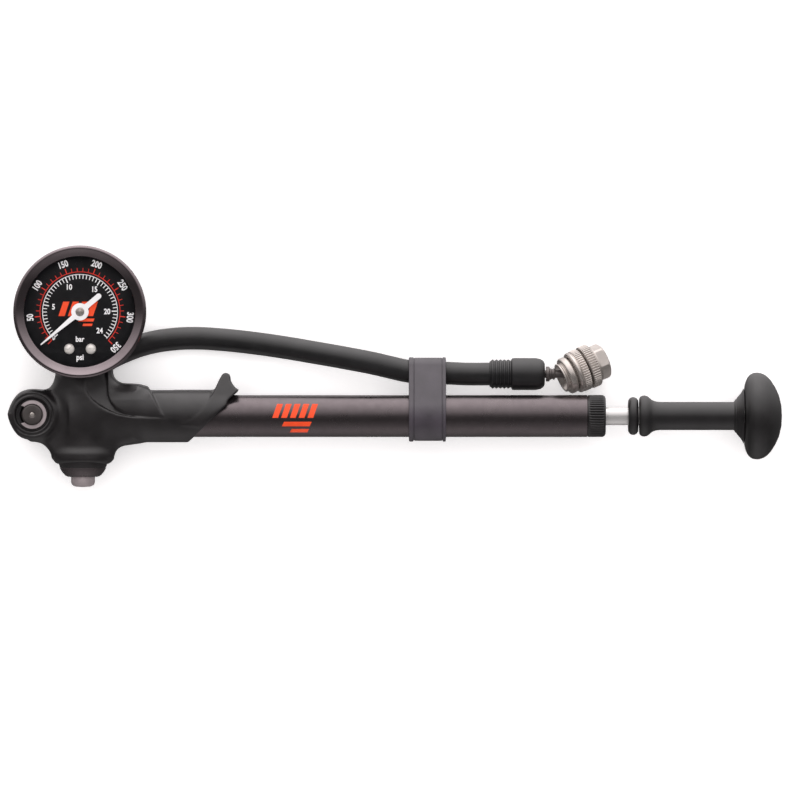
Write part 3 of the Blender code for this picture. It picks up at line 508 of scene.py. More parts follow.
def head_distance(points):
    """Distance to the moulded head, in millimetres, for an array of points."""
    x, y, z = points.T
    column = bar_distance(points, 1, (0, 0), 8.0, -14.8, 17.5, 0.6)
    lip = bar_distance(points, 1, (0, 0), 8.7, -14.8, -12.4, 0.5)
    boss = bar_distance(points, 2, BOSS, BOSS_R, -8.2, 7.6, 1.3)
    # two faces that meet in a blunt point on the boss's left
    boss = smooth_common(boss, 0.42 * np.abs(y - BOSS[1]) - 0.91 * (x - BOSS[0] + BOSS_R - 0.06), 1.2)
    sleeve = bar_distance(points, 0, (0, 0), SLEEVE_R, -4.0, 48.0, 0.3)
    sleeve = smooth_common(sleeve, half_plane(points, (40.2, -3.7), 44.0), 0.4)
    web = thickened(outline_distance(x, y, head_outline()), z, 5.6, 1.8)
    # the leaf narrows towards its tip, and follows the sleeve's round flank below the axis
    taper = 0.225 * (y - 2.2 + np.sqrt((y - 2.2) ** 2 + 3)) + 0.035 * np.minimum(y, 0) ** 2
    leaf = thickened(outline_distance(x, y, leaf_outline()), z, 8.65 - taper, 0.45)
    body = smooth_union(smooth_union(column, sleeve, 3.0), web, 4.0)
    body = smooth_union(smooth_union(body, boss, 2.6), lip, 2.6)
    # a crest that rises just below the swoop's edge and fades out along the barrel
    below = outline_distance(x, y, SWOOP_RIDGE)
    fade = np.clip((13.0 - y) / 5, 0, 1) * np.clip((28.0 - x) / 12, 0, 1) * np.clip((z - 1) / 5, 0, 1)
    crest = 1.1 * fade * np.clip(1 - below / 7.5, 0, 1) ** 1.5
    swoop = smooth_common(body - crest, -below, 0.9)
    lift = 0.35 + 0.85 * np.clip((y - 0.5) / 5, 0, 1)
    saddle = smooth_common(body - lift, outline_distance(x, y, SADDLE_RIDGE), 0.5)
    saddle = smooth_common(saddle, half_plane(points, (22.2, 9.0), 118.0), 0.4)
    body = smooth_union(smooth_union(body, swoop, 0.3), saddle, 0.5)
    body = smooth_union(body, leaf, 0.9)
    hollows = [
        bar_distance(points, 0, (0, 0), 7.2, 12.2, 70.0, 0.1),
        bar_distance(points, 0, (0, 0), 5.9, 7.7, 14.0, 0.1),
        bar_distance(points, 0, (0, 0), 2.6, -2.4, 9.0, 0.1),
        bar_distance(points, 1, (0, 0), 2.2, -12.0, 8.0, 0.1),
        bar_distance(points, 1, (0, 0), 4.3, -20.0, -8.6, 0.1),
        bar_distance(points, 1, (GAUGE[0], 0), 5.1, 3.6, 25.0, 0.1),
        bar_distance(points, 2, GAUGE, 21.1, -20.0, 20.0, 0.1),
        bar_distance(points, 2, BOSS, 3.9, -12.0, 12.0, 0.1),
        bar_distance(points, 2, BOSS, 5.7, 4.6, 12.0, 0.2),
    ]
    for hollow in hollows:
        body = smooth_common(body, -hollow, 0.3)
    groove = np.hypot(np.hypot(x - BOSS[0], y - BOSS[1]) - 6.75, z - 7.6) - 0.3
    return smooth_common(body, -groove, 0.15)


def surface_net(distance, low, high, cell):
    """Mesh the zero surface of a distance function: one vertex per crossed cell, then pulled on to the surface."""
    counts = [int(math.ceil((b - a) / cell)) + 1 for a, b in zip(low, high)]
    axes = [a + cell * np.arange(n) for a, n in zip(low, counts)]
    grid = np.stack(np.meshgrid(*axes, indexing="ij"), -1)
    values = distance(grid.reshape(-1, 3)).reshape(counts)
    total = np.zeros([n - 1 for n in counts] + [3])
    hits = np.zeros([n - 1 for n in counts])

    def corner(array, offset):
        return array[tuple(slice(o, n - 1 + o) for o, n in zip(offset, counts))]

    for axis in range(3):
        others = [i for i in range(3) if i != axis]
        for p in (0, 1):
            for q in (0, 1):
                start = [0, 0, 0]
                start[others[0]], start[others[1]] = p, q
                end = list(start)
                end[axis] = 1
                a, b = corner(values, start), corner(values, end)
                crossed = (a < 0) != (b < 0)
                share = np.where(crossed, a / np.where(crossed, a - b, 1), 0)
                total[..., others[0]] += crossed * p
                total[..., others[1]] += crossed * q
                total[..., axis] += crossed * share
                hits += crossed
    mixed = hits > 0
    number = np.full(hits.shape, -1)
    number[mixed] = np.arange(mixed.sum())
    cells = np.argwhere(mixed)
    verts = np.array(low) + cell * (cells + total[mixed] / hits[mixed][:, None])
    faces = []
    for axis in range(3):
        u, v = [i for i in range(3) if i != axis]
        inner = [slice(1, n - 1) for n in counts]
        inner[axis] = slice(0, counts[axis] - 1)
        shifted = list(inner)
        shifted[axis] = slice(1, counts[axis])
        a, b = values[tuple(inner)], values[tuple(shifted)]
        spots = np.argwhere((a < 0) != (b < 0))
        entering = (a < 0)[tuple(spots.T)]
        base = spots.copy()
        base[:, u] += 1
        base[:, v] += 1
        steps = []
        for du, dv in ((-1, -1), (0, -1), (0, 0), (-1, 0)):
            near = base.copy()
            near[:, u] += du
            near[:, v] += dv
            steps.append(number[tuple(near.T)])
        quads = np.stack(steps, -1)
        flip = entering if axis == 1 else ~entering
        quads[flip] = quads[flip][:, ::-1]
        faces.append(quads)
    for _ in range(3):
        here = distance(verts)
        slope = np.zeros_like(verts)
        for i in range(3):
            step = np.zeros(3)
            step[i] = 0.02
            slope[:, i] = (distance(verts + step) - distance(verts - step)) / 0.04
        length = np.maximum((slope ** 2).sum(1), 0.3)
        verts -= slope * np.clip(here / length, -0.2, 0.2)[:, None]
    return verts, np.concatenate(faces)


def moulded_mesh(name, distance, low, high, cell):
    verts, faces = surface_net(distance, low, high, cell)
    mesh = bpy.data.meshes.new(name)
    mesh.from_pydata((verts * MM).tolist(), [], faces.tolist())
    shape = bmesh.new()
    shape.from_mesh(mesh)
    bmesh.ops.recalc_face_normals(shape, faces=shape.faces)
    shape.to_mesh(mesh)
    shape.free()
    mesh.shade_smooth()
    return mesh


# ---------------------------------------------------------------- hose, swivel and chuck

HOSE_ROUTE = [(2.0, 14.6), (8.0, 18.9), (14.0, 21.8), (21.0, 24.2), (29.0, 25.6), (37.0, 26.0), (45.0, 25.6),
              (55.7, 24.5), (66.3, 23.0), (77.0, 21.2), (87.7, 19.3), (97.0, 17.5), (103.0, 16.1), (108.6, 14.9),
              (114.5, 14.5), (121.0, 14.3), (128.0, 14.0)]


def swivel_point(reach):
    """A point of the swivel's outlet, that far from its axis."""
    return (BOSS[0] + reach * math.cos(SWIVEL_HEADING), BOSS[1] + reach * math.sin(SWIVEL_HEADING), HOSE_BACK_Z)


def hose_points():
    """The route that the hose follows, from the crimp to the boot."""
    points = [Vector(swivel_point(14.3)), Vector(swivel_point(18.0))]
    for x, y in HOSE_ROUTE:
        share = min(1.0, max(0.0, (x - 42.0) / (104.0 - 42.0)))
        points.append(Vector((x, y, HOSE_BACK_Z + (PIVOT.z - HOSE_BACK_Z) * share * share * (3 - 2 * share))))
    points.append(Vector((135.7, PIVOT.y, PIVOT.z)))
    return points


def make_chuck_pieces():
    """Nipple, chuck body, its two ribbed rings and the six-sided nose."""
    count = bpy.context.scene.pump_sizes.ring_ribs
    depth = 0.38
    nose_start, nose_turn, half_flats, bore = 9.2, math.radians(22.0), 5.4, 4.4
    start = 150.3 - PIVOT.x
    ball = [(math.sqrt(2.5 ** 2 - h * h), h) for h in (2.3, 1.9, 1.2, 0.4, -0.4, -1.2, -1.8, -2.13)]
    nipple = [(0, 2.3)] + ball + [(1.3, -5.2), (1.9, -5.5), (1.9, -5.9), (1.65, -6.1), (1.65, -6.4), (1.9, -6.6),
                                  (1.9, -7.0), (2.5, -7.2), (2.5, -8.3), (1.3, -8.3), (1.3, start), (0, start)]
    pieces = [turned("nipple_turned", nipple, 0.12, 64, "gunmetal", "root", ("chuck_nipple",), PIVOT,
                     AXIS_X)]
    cavity = [(math.sqrt(3.7 ** 2 - h * h), h) for h in (-2.0, -1.0, 0.0, 1.0, 2.0, 2.8, 3.2, 3.42)]
    body = [(3.0, 6.8), (3.0, 5.0), (5.2, 5.0), (5.2, 0.3), (5.9, 0.1), (6.25, -0.5), (6.25, -1.9), (5.9, -2.3),
            (4.6, -2.4), (4.6, -2.95), (4.95, -3.1), (4.95, -3.7), (4.2, -3.7)] + cavity + [(1.4, 6.8)]
    pieces.append(turned("chuck_shell", body, 0.3, 96, "nickel", "chuck", ("chuck_body",), PIVOT,
                         CHUCK_AXIS))
    rear = [(6.75, 4.7), (7.15, 4.4), (7.15, 3.9), (7.15, 2.5), (7.1, 2.2), (6.75, 2.05), (6.75, 1.85), (7.0, 1.65),
            (7.05, 1.1), (6.7, 0.65), (6.2, 0.6), (5.5, 0.6), (5.5, 4.7)]
    pieces.append(turned("chuck_ribbed_ring", rear, 0.15, count * RIB_STEPS, "nickel", "chuck_rear_ring",
                         ("chuck_rear_ring",), PIVOT, CHUCK_AXIS, ribs(count, depth, 2.1, 4.5, 7.0)))

    def ribbed_then_hex(radius, height, angle):
        if height > nose_start and radius > bore:
            facet = (angle - nose_turn + math.pi / 6) % (math.pi / 3) - math.pi / 6
            return min(half_flats / math.cos(facet), radius + 0.02)
        return ribs(count, depth, 5.5, 8.1, 7.1)(radius, height, angle)

    front = [(4.9, 12.7), (5.7, 12.3), (6.0, 11.8), (6.0, 9.9), (6.0, 9.25), (6.2, 8.8), (6.8, 8.35), (7.15, 8.25),
             (7.35, 7.9), (7.35, 7.4), (7.35, 6.2), (7.35, 5.7), (7.15, 5.3), (3.3, 5.3), (3.3, 7.2), (4.05, 7.2),
             (4.05, 12.7)]
    pieces.append(turned("chuck_nose_collar", front, 0.15, count * RIB_STEPS, "nickel", "chuck_collar",
                         ("chuck_front_collar",), PIVOT, CHUCK_AXIS, ribbed_then_hex, 30))
    return pieces


def make_boot():
    rings = []
    for i in range(5):
        start = 136.1 + i * 1.3
        rings += [(4.5, start), (4.85, start + 0.25), (4.85, start + 0.75), (4.5, start + 1.0)]
    outer = [(4.1, 135.5), (4.35, 135.9)] + rings + [(4.5, 142.7), (5.3, 143.1), (5.35, 143.8), (5.35, 151.0),
                                                     (5.0, 152.6), (4.3, 153.6), (3.4, 154.0)]
    profile = [(1.6, 154.0)] + outer[::-1] + [(0, 135.5), (0, 150.0), (1.6, 150.0)]
    return turned("boot_moulded", profile, 0.35, 80, "hose", "root", ("hose_boot",),
                  (0, PIVOT.y, PIVOT.z), AXIS_X)


def make_hose_curve():
    """The hose as one smooth bevelled curve."""
    sizes = bpy.context.scene.pump_sizes
    curve = bpy.data.curves.new("hose_tube", "CURVE")
    curve.dimensions = "3D"
    curve.bevel_depth = sizes.hose_diameter / 2
    curve.bevel_resolution = 10
    curve.use_fill_caps = True
    curve.resolution_u = 8
    curve.render_resolution_u = 0
    route = hose_points()
    spline = curve.splines.new("BEZIER")
    spline.bezier_points.add(len(route) - 1)
    for knot, point in zip(spline.bezier_points, route):
        knot.co = point * MM
        knot.handle_left_type = knot.handle_right_type = "AUTO"
    hose = bpy.data.objects.new("hose_tube", curve)
    bpy.context.scene.collection.objects.link(hose)
    curve.materials.append(finish("hose"))
    hose.location = ORIGIN
    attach(hose, "root")
    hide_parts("hose")
    return hose


def make_swivel_pieces():
    start, end = Vector(swivel_point(7.6)), Vector(swivel_point(14.6))
    length = (end - start).length
    crimp = [(3.9, length), (4.1, length - 0.4), (4.1, length - 1.6), (3.85, length - 1.9), (3.85, length - 2.5),
             (4.1, length - 2.8), (4.1, 2.8), (3.85, 2.5), (3.85, 1.9), (4.1, 1.6), (4.1, 0.4), (3.9, 0), (2.9, 0),
             (2.9, length)]
    turned("crimp_band", crimp, 0.15, 72, "nickel", "root", ("hose_crimp",), start, end - start)
    elbow = [(0, 6.55), (0.9, 6.75), (1.1, 6.9), (3.1, 6.9), (3.6, 6.4), (3.6, 6.0), (2.9, 6.0), (2.9, 4.9),
             (3.6, 4.9), (3.6, 4.0), (2.7, 4.0), (2.7, 2.4), (3.6, 2.4), (3.6, 1.4), (2.9, 0.9), (2.9, -0.9),
             (3.6, -1.4), (3.6, -2.4), (2.7, -2.4), (2.7, -4.0), (3.6, -4.0), (3.6, -8.5), (5.9, -8.5), (6.5, -9.1),
             (6.5, -15.9), (5.9, -16.5), (0, -16.5)]
    turned("swivel_body", elbow, 0.2, 72, "gunmetal", "root", ("swivel_elbow",), (*BOSS, 0))
    barb = [(0, 8.5), (2.2, 8.5), (2.6, 7.9), (2.6, 0), (0, 0)]
    turned("swivel_barb", barb, 0.2, 48, "gunmetal", "root", (), swivel_point(4.6),
           Vector(swivel_point(6.0)) - Vector(swivel_point(4.6)))
    pip = [(0, 7.05), (0.6, 6.95), (0.85, 6.7), (0.85, 6.4), (0, 6.4)]
    turned("swivel_pip", pip, 0.1, 32, "nickel", "root", (), (*BOSS, 0))
    gap = 38.0
    clip = arc((0, 0), 4.8, gap, 360 - gap, 40) + arc((0, 0), 2.9, 360 - gap * 1.4, gap * 1.4, 30)
    add_piece("e_clip", plate("e_clip", [clip], 0.3, 0.12), finish("satin_nickel"), "root",
              ("retaining_clip",), (*BOSS, 5.45), AXIS_Z, math.pi)


# ---------------------------------------------------------------- printed marks

def bars_mark(x, y, width, height, lean, count):
    """Corner lists of leaning bars side by side."""
    pitch = width / count
    thick = pitch * 0.66          # the rest of the pitch is the gap
    bars = []
    for k in range(count):
        left = x + k * pitch
        bars.append([(left, y), (left + thick, y), (left + thick + lean, y + height), (left + lean, y + height)])
    return bars


def wrapped_slab(shape, corners, radius, height, across=10):
    """A four-cornered slab laid on the front of a cylinder along X; corners go round from the lower left."""
    a, b, c, d = [Vector(p) for p in corners]
    rows = []
    for k in range(across + 1):
        t = k / across
        row = []
        for p in (a.lerp(d, t), b.lerp(c, t)):
            z = math.sqrt(max(0.0, radius ** 2 - p.y ** 2))
            out = Vector((0, p.y, z)).normalized()
            for r in (radius - 0.02, radius + height):
                row.append(shape.verts.new((p.x, out.y * r, out.z * r)))
        rows.append(row)
    for lower, upper in zip(rows, rows[1:]):
        shape.faces.new((lower[1], lower[3], upper[3], upper[1]))
        shape.faces.new((lower[2], lower[0], upper[0], upper[2]))
        shape.faces.new((lower[0], lower[1], upper[1], upper[0]))
        shape.faces.new((lower[3], lower[2], upper[2], upper[3]))
    shape.faces.new((rows[0][0], rows[0][2], rows[0][3], rows[0][1]))
    shape.faces.new((rows[-1][1], rows[-1][3], rows[-1][2], rows[-1][0]))


DIGIT_HEIGHT = 0.698          # a digit of the built-in font, as a share of its size
BOLDNESS = 0.028              # how far its outline is moved out, as a share of its size


def numerals(name, words, height, narrow):
    """One mesh of printed words: (text, x, y, turn in degrees, height share), centred on their places."""
    rise = bpy.context.scene.pump_sizes.print_height / MM
    shape = bmesh.new()
    for text, x, y, turn, share in words:
        curve = bpy.data.curves.new("word", "FONT")
        curve.body = text
        curve.size = 1.0
        curve.extrude = 0.5
        curve.offset = BOLDNESS
        curve.resolution_u = 4
        mesh = mesh_from_curve(curve)
        spots = np.array([v.co for v in mesh.vertices])
        low, high = spots.min(0), spots.max(0)
        scale = height * share / DIGIT_HEIGHT
        middle = ((low[0] + high[0]) / 2, DIGIT_HEIGHT / 2, 0)
        move = (Matrix.Translation((x, y, DIAL_TOP + rise / 2)) @ Matrix.Rotation(math.radians(turn), 4, "Z")
                @ Matrix.Diagonal((scale * narrow, scale, rise, 1)) @ Matrix.Translation([-c for c in middle]))
        mesh.transform(move)
        shape.from_mesh(mesh)
    return to_mesh(name, shape, 30)


# ---------------------------------------------------------------- operators

class PUMP_OT_stage(bpy.types.Operator):
    """Pale floor, a soft lamp, graded surroundings and the camera above the pump"""
    bl_idname = "pump.stage"
    bl_label = "Stage"

    FLOOR_HALF = 9000.0           # mm
    FLOOR_GAP = 0.0002            # m under the pump
    FLOOR_GLOW = 0.35
    PALE = (0.93, 0.93, 0.93, 1)
    # the world's light by its direction along Y: 0 is from below the barrel, 1 from above the gauge
    GLOW = ((0.0, 0.24), (0.07, 0.15), (0.17, 0.1), (0.3, 0.04), (0.5, 0.055), (0.57, 0.16), (0.71, 0.4),
            (0.835, 0.57), (0.935, 0.82), (1.0, 1.0))
    GLOW_STRENGTH = 1.9
    LAMP_WATTS, LAMP_WIDTH, LAMP_HEIGHT = 52.0, 2.6, 2.2
    VIEW_WIDTH = 266.67           # mm that the camera takes in across
    VIEW_CENTRE = (105.67, 5.33, 0)

    def execute(self, context):
        scene = context.scene
        scene.view_settings.view_transform = "Standard"
        shape = bmesh.new()
        bmesh.ops.create_grid(shape, x_segments=8, y_segments=8, size=self.FLOOR_HALF)
        floor_mesh = to_mesh("floor", shape)
        floor = bpy.data.objects.new("floor", floor_mesh)
        scene.collection.objects.link(floor)
        floor.location.z = CAD_BOX[0].z - self.FLOOR_GAP
        look = finish("floor")
        shader = look.node_tree.nodes["Principled BSDF"]
        shader.inputs["Emission Color"].default_value = (1.0, 0.99, 0.99, 1)
        shader.inputs["Emission Strength"].default_value = self.FLOOR_GLOW
        floor_mesh.materials.append(look)
        floor.visible_glossy = False

        world = bpy.data.worlds.new("surroundings")
        scene.world = world
        world.use_nodes = True
        nodes, links = world.node_tree.nodes, world.node_tree.links
        direction = nodes.new("ShaderNodeTexCoord")
        split = nodes.new("ShaderNodeSeparateXYZ")
        span = nodes.new("ShaderNodeMapRange")
        span.inputs["From Min"].default_value = -1.0
        ramp = nodes.new("ShaderNodeValToRGB")
        while len(ramp.color_ramp.elements) < len(self.GLOW):
            ramp.color_ramp.elements.new(0.5)
        for element, (position, level) in zip(ramp.color_ramp.elements, self.GLOW):
            element.position = position
            element.color = (level, level * 0.96, level * 0.965, 1)
        links.new(direction.outputs["Generated"], split.inputs["Vector"])
        links.new(split.outputs["Y"], span.inputs["Value"])
        links.new(span.outputs["Result"], ramp.inputs["Fac"])
        surround = nodes["Background"]
        surround.inputs["Strength"].default_value = self.GLOW_STRENGTH
        links.new(ramp.outputs["Color"], surround.inputs["Color"])
        backdrop = nodes.new("ShaderNodeBackground")
        backdrop.inputs["Color"].default_value = self.PALE
        sight = nodes.new("ShaderNodeLightPath")
        mix = nodes.new("ShaderNodeMixShader")
        links.new(sight.outputs["Is Camera Ray"], mix.inputs["Fac"])
        links.new(surround.outputs["Background"], mix.inputs[1])
        links.new(backdrop.outputs["Background"], mix.inputs[2])
        links.new(mix.outputs["Shader"], nodes["World Output"].inputs["Surface"])

        lamp = bpy.data.lights.new("sky_panel", "AREA")
        lamp.size = self.LAMP_WIDTH
        lamp.energy = self.LAMP_WATTS
        lamp.color = (1.0, 0.97, 0.97)
        holder = bpy.data.objects.new("sky_panel", lamp)
        scene.collection.objects.link(holder)
        holder.location = (0.0, 0.0, self.LAMP_HEIGHT)
        holder.visible_camera = False
        holder.visible_glossy = False

        camera = bpy.data.cameras.new("camera")
        camera.lens = 400.0
        camera.sensor_width = 36.0
        distance = self.VIEW_WIDTH * MM * camera.lens / camera.sensor_width
        camera.clip_end = 100.0
        holder = bpy.data.objects.new("camera", camera)
        scene.collection.objects.link(holder)
        holder.location = at(*self.VIEW_CENTRE) + AXIS_Z * distance
        scene.camera = holder
        return {"FINISHED"}


class PUMP_OT_hose(bpy.types.Operator):
    """Hose with its boot and valve chuck, and the swivel that it leaves"""
    bl_idname = "pump.hose"
    bl_label = "Hose and chuck"

    def execute(self, context):
        hose = make_hose_curve()
        chuck = make_chuck_pieces()
        boot = make_boot()
        make_swivel_pieces()
        return {"FINISHED"}


class PUMP_OT_head(bpy.types.Operator):
    """Moulded head: column, swivel boss, barrel sleeve, saddle and cradle leaf in one casting"""
    bl_idname = "pump.head"
    bl_label = "Head"

    def execute(self, context):
        cell = context.scene.pump_sizes.casting_cell / MM
        mesh = moulded_mesh("head_casting", head_distance, (-26.2, -16.0, -10.4), (53.2, 19.0, 10.4), cell)
        add_piece("head_casting", mesh, finish("casting"), "root", ("pump_head",))
        return {"FINISHED"}


class PUMP_OT_barrel(bpy.types.Operator):
    """Anodised barrel tube with its slanted-bar mark, and the ribbed end cap"""
    bl_idname = "pump.barrel"
    bl_label = "Barrel"

    def execute(self, context):
        sizes = context.scene.pump_sizes
        tube = [(BARREL_R, 168.1), (BARREL_R, BARREL_START), (5.9, BARREL_START), (5.9, 168.1)]
        turned("barrel_tube", tube, 0.15, 128, "anodised", "root", ("barrel",), axis=AXIS_X)
        cap = [(6.0, 174.2), (6.7, 173.8), (7.0, 173.2), (7.0, 172.6), (7.0, 169.4), (7.0, 168.7), (6.9, 168.2),
               (5.6, 168.2), (5.6, 160.0), (4.9, 160.0), (4.9, 168.2), (3.4, 168.2), (3.4, 174.2)]
        turned("barrel_ribbed_cap", cap, 0.15, sizes.cap_ribs * RIB_STEPS, "casting", "root",
               ("barrel_end_cap",), axis=AXIS_X, warp=ribs(sizes.cap_ribs, 0.4, 168.8, 173.6, 6.5))
        shape = bmesh.new()
        rise = sizes.print_height / MM
        for bar in bars_mark(63.2, -0.6, 14.6, 4.6, 1.6, 5):
            wrapped_slab(shape, bar, BARREL_R, rise)
        wrapped_slab(shape, [(66.4, -3.4), (75.6, -3.4), (76.3, -1.9), (67.1, -1.9)], BARREL_R, rise)
        wrapped_slab(shape, [(69.0, -5.4), (74.8, -5.4), (75.4, -4.3), (69.6, -4.3)], BARREL_R, rise)
        add_piece("barrel_mark", to_mesh("barrel_mark", shape), finish("mark"))
        return {"FINISHED"}


class PUMP_OT_gauge_shell(bpy.types.Operator):
    """Gauge case, bezel and lens"""
    bl_idname = "pump.gauge_shell"
    bl_label = "Gauge shell"

    def execute(self, context):
        centre = (*GAUGE, 0)
        case = [(20.8, 12.4), (20.8, 9.6), (20.8, -6.2), (20.4, -7.6), (19.2, -8.4), (17.0, -8.5), (0, -8.5),
                (0, -7.5), (19.6, -7.5), (19.8, -6.0), (19.8, 12.4)]
        turned("gauge_shell", case, 0.4, 144, "gauge", "root", ("gauge_case",), centre)
        rim = [(18.5, 14.45), (19.2, 14.78), (20.0, 15.25), (20.65, 15.75), (21.0, 16.0), (21.5, 15.9), (22.0, 15.3),
               (22.0, 13.0), (22.0, 9.9), (21.7, 9.5), (21.1, 9.5), (21.1, 14.35), (18.5, 14.35)]
        turned("gauge_rim", rim, 0.18, 192, "bezel", "root", ("gauge_bezel",), centre)
        glass = [(0, 14.3), (20.7, 14.3), (20.7, 12.8), (0, 12.8)]
        add_piece("gauge_glass", to_mesh("gauge_glass", lathe(glass, 0.15, 144)), lens_finish(), "root",
                  ("gauge_lens",), centre)
        return {"FINISHED"}


class PUMP_OT_dial(bpy.types.Operator):
    """Dial plate with its two scales, numerals, slanted-bar mark and slotted screws"""
    bl_idname = "pump.dial"
    bl_label = "Dial"

    SCALE_START, SCALE_END = 225.0, -45.0

    def execute(self, context):
        sizes = context.scene.pump_sizes
        rise = sizes.print_height / MM
        centre = (*GAUGE, 0)
        screws = [(side * 3.6, -12.3) for side in (-1, 1)]
        holes = [arc(spot, 1.1, 0, -352, 24) for spot in screws] + [arc((0, 0), 1.1, 0, -352, 24)]
        add_piece("dial_plate", plate("dial_plate", [arc((0, 0), 19.5, 0, 357.5, 143)] + holes, 0.3, 0.08),
                  finish("dial"), "root", ("gauge_dial",), (*GAUGE, DIAL_TOP - 0.3))
        white, red = bmesh.new(), bmesh.new()
        self.arc_line(white, 12.45, 0.22, rise)
        self.arc_line(red, 13.3, 0.22, rise)
        bar_step = 11.19
        half_bars = int((self.SCALE_START - self.SCALE_END) / bar_step * 2)
        for k in range(half_bars + 1):
            major = k % 10 == 0
            self.tick(white, self.SCALE_START - k * bar_step / 2, 10.5 if major else 11.0, 12.5,
                      0.36 if major else 0.27, rise)
        psi_marks, psi_step = 35, 7.714
        for k in range(psi_marks + 1):
            major = k % 5 == 0
            self.tick(red, self.SCALE_START - k * psi_step, 13.3, 15.1 if major else 14.6,
                      0.3 if major else 0.2, rise)
        add_piece("dial_inner_scale", to_mesh("dial_inner_scale", white), finish("print_white"), "root",
                  (), centre)
        add_piece("dial_outer_scale", to_mesh("dial_outer_scale", red), finish("print_red"), "root", (),
                  centre)

        outer = []
        for k, angle in enumerate((186.4, 147.9, 109.3, 70.7, 32.1, -6.4, -45.0)):
            outer.append((str(50 * (k + 1)), *polar(16.75, angle), angle - 90, 1.0))
        add_piece("dial_outer_numerals", numerals("dial_outer_numerals", outer, sizes.psi_numeral / MM, 0.78),
                  finish("print_white"), "root", (), centre)
        inner = [(text, *polar(9.0, angle), 0.0, 0.95)
                 for text, angle in (("5", 169), ("10", 113), ("15", 57), ("20", 1), ("24", -43.5))]
        inner += [("0", *polar(12.2, 224), 0.0, 0.9), ("bar", 0.0, -9.0, 0.0, 0.95), ("psi", 0.0, -15.0, 0.0, 1.0)]
        add_piece("dial_inner_numerals", numerals("dial_inner_numerals", inner, sizes.bar_numeral / MM, 0.85),
                  finish("print_white"), "root", (), centre)

        shape = bmesh.new()
        stripes = [[(-0.6, -3.2), (4.4, -3.2), (4.8, -2.2), (-0.2, -2.2)],
                   [(0.8, -4.7), (3.9, -4.7), (4.2, -3.9), (1.1, -3.9)]]
        for bar in bars_mark(-7.2, -1.4, 12.6, 4.8, 1.6, 4) + stripes:
            slab(shape, bar, DIAL_TOP - 0.01, DIAL_TOP + rise)
        add_piece("dial_mark", to_mesh("dial_mark", shape), finish("mark"), "root", (), centre)
        for side, spot in zip(("left", "right"), screws):
            self.screw(side, spot)
        return {"FINISHED"}

    def arc_line(self, shape, radius, width, rise):
        """A thin line round the scale, one slab per few degrees."""
        count = 90
        for k in range(count):
            a = self.SCALE_START + (self.SCALE_END - self.SCALE_START) * k / count
            b = self.SCALE_START + (self.SCALE_END - self.SCALE_START) * (k + 1) / count
            slab(shape, [polar(radius + width / 2, b), polar(radius + width / 2, a), polar(radius - width / 2, a),
                         polar(radius - width / 2, b)], DIAL_TOP - 0.01, DIAL_TOP + rise)

    @staticmethod
    def tick(shape, degrees, inner, outer, width, rise):
        along = Vector(polar(1.0, degrees))
        side = Vector((-along.y, along.x)) * width / 2
        corners = [along * inner - side, along * outer - side, along * outer + side, along * inner + side]
        slab(shape, corners, DIAL_TOP - 0.01, DIAL_TOP + rise)

    @staticmethod
    def screw(side, spot):
        """A domed head with a slot cut into it, on its shank."""
        head = lathe([(0, 12.0), (0.5, 11.94), (0.95, 11.76), (1.35, 11.46), (1.62, 11.1), (1.75, 10.75),
                      (0.75, 10.75), (0.75, 4.2), (0, 4.2)], 0.08, 40)
        blade = bmesh.new()
        bmesh.ops.create_cube(blade, size=1.0)
        bmesh.ops.scale(blade, vec=(4.4, 0.42, 0.8), verts=blade.verts)
        bmesh.ops.rotate(blade, matrix=Matrix.Rotation(math.radians(35 if side == "left" else -20), 3, "Z"),
                         verts=blade.verts)
        bmesh.ops.translate(blade, vec=(0, 0, 11.75), verts=blade.verts)
        cutter = bpy.data.objects.new("blade", to_mesh("blade", blade))
        bpy.context.scene.collection.objects.link(cutter)
        whole = bpy.data.objects.new("whole", to_mesh("whole", head))
        bpy.context.scene.collection.objects.link(whole)
        slot = whole.modifiers.new("slot", "BOOLEAN")
        slot.operation = "DIFFERENCE"
        slot.solver = "EXACT"
        slot.object = cutter
        bpy.context.view_layer.update()
        mesh = bpy.data.meshes.new_from_object(whole.evaluated_get(bpy.context.evaluated_depsgraph_get()))
        bpy.data.objects.remove(cutter)
        bpy.data.objects.remove(whole)
        mesh.set_sharp_from_angle(angle=math.radians(CREASE))
        add_piece("slotted_screw_" + side, mesh, finish("bright_nickel"), "root", ("dial_screw_" + side,),
                  (GAUGE[0] + spot[0], GAUGE[1] + spot[1], 0))


class PUMP_OT_pointer(bpy.types.Operator):
    """White pointer with its hub and cap, on the gauge's arbor"""
    bl_idname = "pump.pointer"
    bl_label = "Pointer"

    def execute(self, context):
        points = [(17.1, 0.0), (16.9, 0.22), (10.0, 0.5), (2.8, 0.85)]
        points += arc((0, 0), 2.9, 20, 160, 16)
        points += [(-3.6, 0.86)] + arc((-8.1, 0), 0.92, 90, 270, 10) + [(-3.6, -0.86)]
        points += arc((0, 0), 2.9, 200, 340, 16)
        points += [(2.8, -0.85), (10.0, -0.5), (16.9, -0.22)]
        hole = arc((0, 0), 0.8, 0, -345, 23)
        add_piece("pointer_hand", plate("pointer_hand", [points, hole], 0.2, 0.08), finish("print_white"), "pointer",
                  ("gauge_pointer",), (*GAUGE, 11.7), AXIS_Z, math.radians(POINTER_ANGLE))
        cap = [(0, 12.55), (0.45, 12.5), (0.75, 12.3), (0.85, 12.1), (1.2, 12.1), (1.55, 11.86), (0.55, 11.86),
               (0.55, 11.6), (0, 11.6)]
        turned("pointer_cap", cap, 0.08, 48, "nickel", "pointer", (), (*GAUGE, 0))
        return {"FINISHED"}


